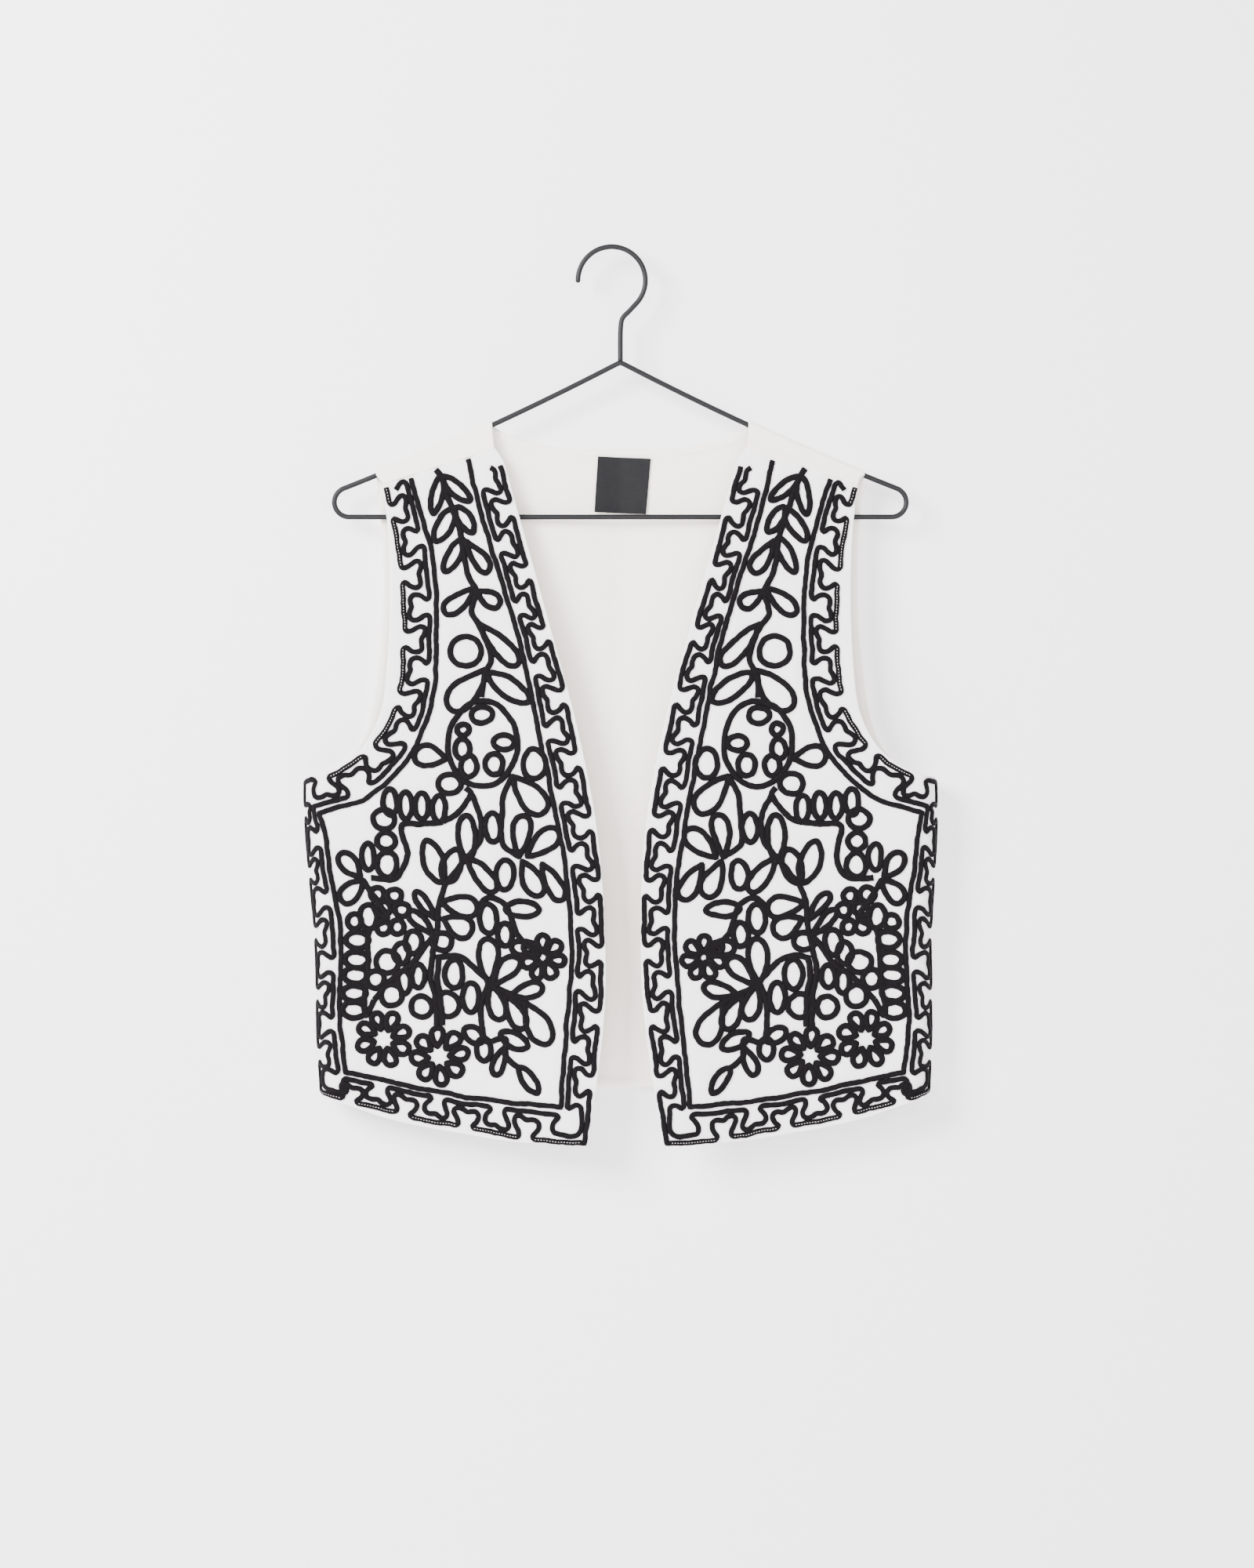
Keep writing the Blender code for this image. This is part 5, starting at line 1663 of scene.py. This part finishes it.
class VEST_OT_back(bpy.types.Operator):
    """Builds the back with its two shoulder strips"""

    bl_idname = "vest.back"
    bl_label = "Back and shoulder strips"

    def outline(self):
        """The back's edges on its chart, as (x, s) points."""
        depths = np.linspace(BACK_HEM_DEPTH, BACK_ARMHOLE[0].d, 78)
        side = side_seam(BACK_TURN, depths)
        armhole = curve_through(BACK_ARMHOLE, OUTLINE_STEP)
        armhole[0] = side[-1]
        arc = math.pi * FOLD_RADIUS
        steps = np.linspace(0.0, arc, 11)
        outer_end = [np.array((STRIP_OUTER_U, arm_depth(STRIP_OUTER_U) - past)) for past in steps]
        inner_end = [np.array((STRIP_INNER_U, arm_depth(STRIP_INNER_U) - past)) for past in steps]
        inner, outer = SHOULDER_SEAM
        seam = []
        for share in np.linspace(0.0, 1.0, 31):
            u = outer.u + (inner.u - outer.u) * share
            d = outer.d + (inner.d - outer.d) * share + SEAM_LAP
            seam.append(np.array((u, 2 * arm_depth(u) - arc - d)))
        neck = curve_through(BACK_NECK, OUTLINE_STEP)
        half_hem = [
            np.array((x, BACK_HEM_DEPTH)) for x in np.linspace(0.0, side[0][0], 80)[1:-1]
        ]
        right = half_hem + side[:-1] + armhole + outer_end + seam + inner_end[::-1] + neck[::-1]
        right = [np.array((point[0], -point[1])) for point in right]
        left = [point * (-1.0, 1.0) for point in right[-2::-1]]
        return right + left + [np.array((0.0, -BACK_HEM_DEPTH))]

    def hem_rows(self, inset):
        """Chart rows at one distance inside the back's hem, armholes and neck."""
        armhole = curve_through(BACK_ARMHOLE[1:], OUTLINE_STEP)
        neck = curve_through(BACK_NECK, OUTLINE_STEP)
        rows = []
        for side in (-1.0, 1.0):
            rows.append([np.array((side * u, -d)) for u, d in offset_line(armhole, inset)])
        whole = [np.array((-u, d)) for u, d in neck[:0:-1]] + neck
        rows.append([np.array((x, -d)) for x, d in offset_line(whole, -inset)])
        reach = side_seam(BACK_TURN, np.array([BACK_HEM_DEPTH]))[0][0] - 1.5
        rows.append([np.array((x, inset - BACK_HEM_DEPTH)) for x in np.linspace(-reach, reach, 160)])
        return rows

    def execute(self, context):
        settings = context.scene.vest_cloth
        cloth = cotton_material("plain_cotton", settings.back_colour, 1500.0, 0.1, 4.0)
        cream = thread_material("cream_thread", scaled(settings.thread_colour, 0.96))
        half = settings.thickness / MM / 2
        outline = self.outline()
        arc = math.pi * FOLD_RADIUS
        edge = np.concatenate(self.hem_rows(0.0))

        def wrinkles(chart):
            broad = 0.5 * noise_at(chart, 0.015, 41) + 0.2 * noise_at(chart, 0.05, 42)
            drop = -chart[:, 1] - arm_depth(np.abs(chart[:, 0]))
            calm = smooth_step((drop - 6.0) / 30.0)
            creases = fold_depth(CREASES["back"], chart[:, 0], -chart[:, 1])
            return calm * (broad - creases)

        def relief(chart):
            u = np.abs(chart[:, 0])
            past = chart[:, 1] + arm_depth(u)
            inner, outer = SHOULDER_SEAM
            seam = inner.d + (outer.d - inner.d) * (u - inner.u) / (outer.u - inner.u)
            left = seam + SEAM_LAP - (past - arc + arm_depth(u))
            lap = np.where(past > arc, smooth_step((6.0 - left) / 5.0), 0.0)
            return wrinkles(chart) + 1.15 * lap

        def extras(chart):
            near = nearest_distances(edge, chart)
            drop = -chart[:, 1] - arm_depth(np.abs(chart[:, 0]))
            clear = np.clip((drop - WIRE_RADIUS) / HEM_WIDTH, 0.0, 1.0)
            inner = HEM_EXTRA * clear * np.clip((HEM_WIDTH + 0.9 - near) / 0.9, 0.0, 1.0)
            return np.zeros(len(chart)), inner

        lines = self.hem_rows(HEM_WIDTH) + self.hem_rows(HEM_WIDTH + 0.9)
        for side in (-1.0, 1.0):
            for past in np.linspace(0.0, arc, 9):
                us = np.linspace(STRIP_INNER_U + 1.5, STRIP_OUTER_U - 1.5, 32)
                lines.append([np.array((side * u, past - arm_depth(u))) for u in us])
        whole = np.array(outline)
        lines = [[p for p, hit in zip(line, inside(whole, np.array(line))) if hit] for line in lines]
        shape = cloth_piece(
            "back_cloth", outline, back_surface, -1.0, relief, extras, lines,
            2 * half, settings.spacing / MM, cloth,
        )
        finish_piece(shape, ("back",))
        rows = [(line, False) for line in self.hem_rows(HEM_WIDTH - 1.6)]
        sewn = lay_lines(
            "back_stitches", rows, back_surface, -1.0,
            lambda chart: -(half + HEM_EXTRA + 0.02) + wrinkles(chart),
        )
        tree = stitch_tree()
        values = {"Pitch": 0.0027, "Length": 0.0019, "Width": 0.0004, "Seed": 5, "Material": cream}
        sewn = finish_piece(run_tree(sewn, tree, values))
        return {"FINISHED"}


class VEST_OT_label(bpy.types.Operator):
    """Builds the folded label inside the back neck"""

    bl_idname = "vest.label"
    bl_label = "Neck label"

    def execute(self, context):
        settings = context.scene.vest_label
        ribbon = label_material(settings.colour)
        layer = settings.layer / MM
        columns, rows = 29, 25
        over = np.linspace(0.0, 1.0, columns)
        top = [np.interp(over, (0, 1), [corner[k] for corner in LABEL_TOP]) for k in (0, 1)]
        foot = [np.interp(over, (0, 1), [corner[k] for corner in LABEL_FOOT]) for k in (0, 1)]
        down = np.linspace(0.0, 1.0, rows)
        fold = 0.62 * layer
        stations = [(share, 1.0) for share in down]
        bends = [math.pi / 2 * (1 - 2 * k / 6) for k in range(1, 6)]
        stations += [(1.0, angle) for angle in bends]
        stations += [(share, -1.0) for share in down[::-1]]
        skins = []
        chart_rows = []
        for at, (share, mark) in enumerate(stations):
            chart = np.stack([top[k] + (foot[k] - top[k]) * share for k in (0, 1)], axis=1)
            chart = chart * (1.0, -1.0)
            normals = surface_normals(back_surface, chart, 1.0)
            base = 0.6 + 0.3 + HEM_EXTRA * (1 - share) + LABEL_LIFT * share**2 + layer
            place = back_surface(chart)
            wave = 0.12 * np.sin(over * 5.0 + 1.0) * share
            if abs(mark) == 1.0 and not rows <= at < len(stations) - rows:
                lift = base + wave + mark * fold
                way = mark * normals
                low = np.zeros((columns, 3))
            else:
                lift = base + wave + math.sin(mark) * fold
                way = math.sin(mark) * normals + math.cos(mark) * np.array((0.0, 0.0, -1.0))
                low = math.cos(mark) * fold * np.array((0.0, 0.0, -1.0))
            centre = place + normals * (lift + fold)[:, None] + low
            skins.append((centre + way * layer / 2, centre - way * layer / 2))
            chart_rows.append(np.stack((chart[:, 0], np.full(columns, -170.0 - 1.8 * at)), axis=1))
        outer = np.concatenate([skin[0] for skin in skins])
        inner = np.concatenate([skin[1] for skin in skins])
        count = len(stations)
        faces = []
        for skin, first in enumerate((0, count * columns)):
            for row in range(count - 1):
                for column in range(columns - 1):
                    a = first + row * columns + column
                    quad = (a, a + columns, a + columns + 1, a + 1)
                    faces.append(quad if skin == 0 else quad[::-1])
        rim = list(range(columns))
        rim += [row * columns + columns - 1 for row in range(1, count)]
        rim += [(count - 1) * columns + column for column in range(columns - 2, -1, -1)]
        rim += [row * columns for row in range(count - 2, 0, -1)]
        for k, corner in enumerate(rim):
            after = rim[(k + 1) % len(rim)]
            faces.append((corner, after, after + count * columns, corner + count * columns))
        shape = new_piece("label_ribbon", np.concatenate((outer, inner)), faces, ribbon)
        shape.data.set_sharp_from_angle(angle=math.radians(60))
        flat = np.concatenate(chart_rows)
        add_uv(shape, np.concatenate((flat, flat)), "cloth")
        finish_piece(shape, ("label",))
        return {"FINISHED"}


class VEST_OT_hanger(bpy.types.Operator):
    """Builds the black wire hanger"""

    bl_idname = "vest.hanger"
    bl_label = "Wire hanger"

    def tube(self, points, radius, sides, closed):
        """Rings of points round a flat path in the wire's plane; open ends are rounded."""
        points = [np.array(point, float) for point in points]
        count = len(points)
        rings, radii = [], [radius] * count
        if not closed:
            ways = points[0] - points[1], points[-1] - points[-2]
            ways = [way / np.linalg.norm(way) for way in ways]
            caps = (0.35, 0.7, 0.93)
            points = (
                [points[0] + ways[0] * radius * cap for cap in caps[::-1]]
                + points
                + [points[-1] + ways[1] * radius * cap for cap in caps]
            )
            shrink = [radius * math.sqrt(1 - cap * cap) for cap in caps]
            radii = shrink[::-1] + radii + shrink
            count = len(points)
        for at, point in enumerate(points):
            before = points[at - 1] if closed or at else point
            after = points[(at + 1) % count] if closed or at < count - 1 else point
            way = (after - before) / np.linalg.norm(after - before)
            across = np.array((way[1], -way[0]))
            for k in range(sides):
                angle = math.tau * k / sides
                flat = point + radii[at] * math.cos(angle) * across
                rings.append((CENTRE_LINE_X + flat[0], radii[at] * math.sin(angle), flat[1]))
        faces = []
        for at in range(count if closed else count - 1):
            for k in range(sides):
                n = (k + 1) % sides
                here, there = at * sides, (at + 1) % count * sides
                faces.append((here + k, here + n, there + n, there + k))
        if not closed:
            faces.append(tuple(range(sides))[::-1])
            faces.append(tuple(range(len(rings) - sides, len(rings))))
        return rings, faces

    def execute(self, context):
        settings = context.scene.vest_hanger
        coating = wire_material(settings.colour)
        radius, sides = settings.radius / MM, settings.sides
        centre = np.array((-CENTRE_LINE_X, radius - CROWN_RADIUS))
        points = []
        for step in range(73):
            angle = math.radians(180 - HOOK_SWEEP * step / 72)
            points.append(centre + CROWN_RADIUS * np.array((math.cos(angle), math.sin(angle))))
        neck_top, neck_foot = [np.array(point) for point in NECK_BEND]
        bend = [points[-1], (points[-1] + neck_top) / 2, neck_top, neck_foot, np.array((0.0, -70.0))]
        points = points[:-1] + curve_through(bend, 1.2)
        points += [np.array((0.0, -z)) for z in (74.0, 78.0, 82.0, 84.5)]
        hook = new_piece("hanger_hook_wire", *self.tube(points, radius, sides, False), coating)
        finish_piece(hook, ("hanger_hook",))
        slope = ARM_SLOPE - 2 * ARM_BOW * ARM_END_U
        lean = math.atan(slope)
        touch = ARM_END_U + ARM_END_RADIUS * math.sin(lean)
        centre_d = arm_depth(touch) + ARM_END_RADIUS * math.cos(lean)
        half = [np.array((u, -arm_depth(u) - 0.5 * math.exp(-u))) for u in np.linspace(0.7, 3.0, 4)]
        half += [np.array((u, -arm_depth(u))) for u in np.linspace(6.0, touch - 1.0, 60)]
        for step in range(33):
            angle = math.pi / 2 - lean - (math.pi - lean) * step / 32
            way = np.array((math.cos(angle), math.sin(angle)))
            half.append(np.array((ARM_END_U, -centre_d)) + ARM_END_RADIUS * way)
        bar = -centre_d - ARM_END_RADIUS
        half += [np.array((u, bar)) for u in np.linspace(ARM_END_U - 3.0, 6.0, 60)]
        mirrored = [point * (-1.0, 1.0) for point in half[::-1]]
        apex = np.array((0.0, -arm_depth(0.0) - 0.45))
        loop = [apex] + half + [np.array((0.0, bar))] + mirrored
        arms = new_piece("hanger_frame_wire", *self.tube(loop, radius, sides, True), coating)
        finish_piece(arms, ("hanger_frame",))
        return {"FINISHED"}


class VEST_OT_stage(bpy.types.Operator):
    """Builds the wall, the floor, the light and the camera"""

    bl_idname = "vest.stage"
    bl_label = "Plain stage"

    def sheet(self, name, corners, material):
        """A flat stage piece from its four corners in metres."""
        mesh = bpy.data.meshes.new(name)
        mesh.from_pydata(corners, [], [(0, 1, 2, 3)])
        mesh.materials.append(material)
        made = bpy.data.objects.new(name, mesh)
        bpy.context.collection.objects.link(made)
        return made

    def light(self, name, place, aim, size, power):
        """A square lamp that points at a place."""
        lamp = bpy.data.lights.new(name, "AREA")
        lamp.shape = "SQUARE"
        lamp.size = size
        lamp.energy = power
        made = bpy.data.objects.new(name, lamp)
        made.location = place
        made.rotation_euler = (Vector(aim) - Vector(place)).to_track_quat("-Z", "Y").to_euler()
        bpy.context.collection.objects.link(made)
        return made

    def execute(self, context):
        settings = context.scene.vest_stage
        wall = wall_material(settings.wall_colour)
        y, floor = settings.wall_gap, -1.35
        backdrop = self.sheet(
            "wall", [(-4, y, floor), (4, y, floor), (4, y, 2.6), (-4, y, 2.6)], wall
        )
        # The wall throws no shadow, so the back light reaches the vest's back
        backdrop.visible_shadow = False
        self.sheet(
            "floor", [(-4, -5, floor), (4, -5, floor), (4, y, floor), (-4, y, floor)], wall
        )
        aim = (0.0117, 0.0, -0.4092)
        self.light("key_light", (-1.6, -1.8, 0.7), aim, 1.1, settings.power)
        self.light("fill_light", (1.5, -2.4, -0.2), aim, 2.4, settings.power * 0.3)
        self.light("front_light", (-0.2, -3.2, 0.2), aim, 2.0, settings.power * 0.4)
        self.light("back_light", (0.9, 2.6, 0.5), aim, 2.0, settings.power * 0.9)
        world = bpy.data.worlds.new("soft_room")
        world.use_nodes = True
        world.node_tree.nodes["Background"].inputs[0].default_value = (1.0, 0.99, 1.0, 1.0)
        world.node_tree.nodes["Background"].inputs[1].default_value = 1.1
        context.scene.world = world
        camera = bpy.data.cameras.new("camera")
        camera.sensor_width = 36.0
        camera.lens = 36.0 * settings.distance / 1.2
        camera.clip_start = 0.1
        camera.clip_end = 30.0
        made = bpy.data.objects.new("camera", camera)
        made.location = (aim[0], -settings.distance, aim[2])
        made.rotation_euler = (math.pi / 2, 0.0, 0.0)
        context.collection.objects.link(made)
        context.scene.camera = made
        return {"FINISHED"}


class VEST_PT_panel(bpy.types.Panel):
    """Lists the pieces of the vest"""

    bl_label = "Embroidered vest"
    bl_idname = "VEST_PT_panel"
    bl_space_type = "VIEW_3D"
    bl_region_type = "UI"
    bl_category = "Vest"

    def draw(self, context):
        scene = context.scene
        for settings, operators in (
            (scene.vest_cloth, ("vest.fronts", "vest.back")),
            (scene.vest_cord, ()),
            (scene.vest_label, ("vest.label",)),
            (scene.vest_hanger, ("vest.hanger",)),
            (scene.vest_stage, ("vest.stage",)),
        ):
            box = self.layout.box()
            for key in settings.__annotations__:
                box.prop(settings, key)
            for operator in operators:
                box.operator(operator)


SETTINGS = {
    "vest_cloth": VestClothSettings,
    "vest_cord": VestCordSettings,
    "vest_label": VestLabelSettings,
    "vest_hanger": VestHangerSettings,
    "vest_stage": VestStageSettings,
}
OPERATORS = (VEST_OT_hanger, VEST_OT_back, VEST_OT_label, VEST_OT_fronts, VEST_OT_stage)


def register():
    """Registers the settings, the operators and the panel."""
    for key, group in SETTINGS.items():
        bpy.utils.register_class(group)
        setattr(bpy.types.Scene, key, bpy.props.PointerProperty(type=group))
    for operator in OPERATORS:
        bpy.utils.register_class(operator)
    bpy.utils.register_class(VEST_PT_panel)


def unregister():
    """Takes them out again."""
    bpy.utils.unregister_class(VEST_PT_panel)
    for operator in reversed(OPERATORS):
        bpy.utils.unregister_class(operator)
    for key, group in SETTINGS.items():
        delattr(bpy.types.Scene, key)
        bpy.utils.unregister_class(group)


def main():
    """Builds everything."""
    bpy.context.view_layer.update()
    register()
    bpy.ops.vest.hanger()
    bpy.ops.vest.back()
    bpy.ops.vest.label()
    bpy.ops.vest.fronts()
    bpy.ops.vest.stage()
    bpy.context.view_layer.update()


if __name__ == "__main__":
    main()
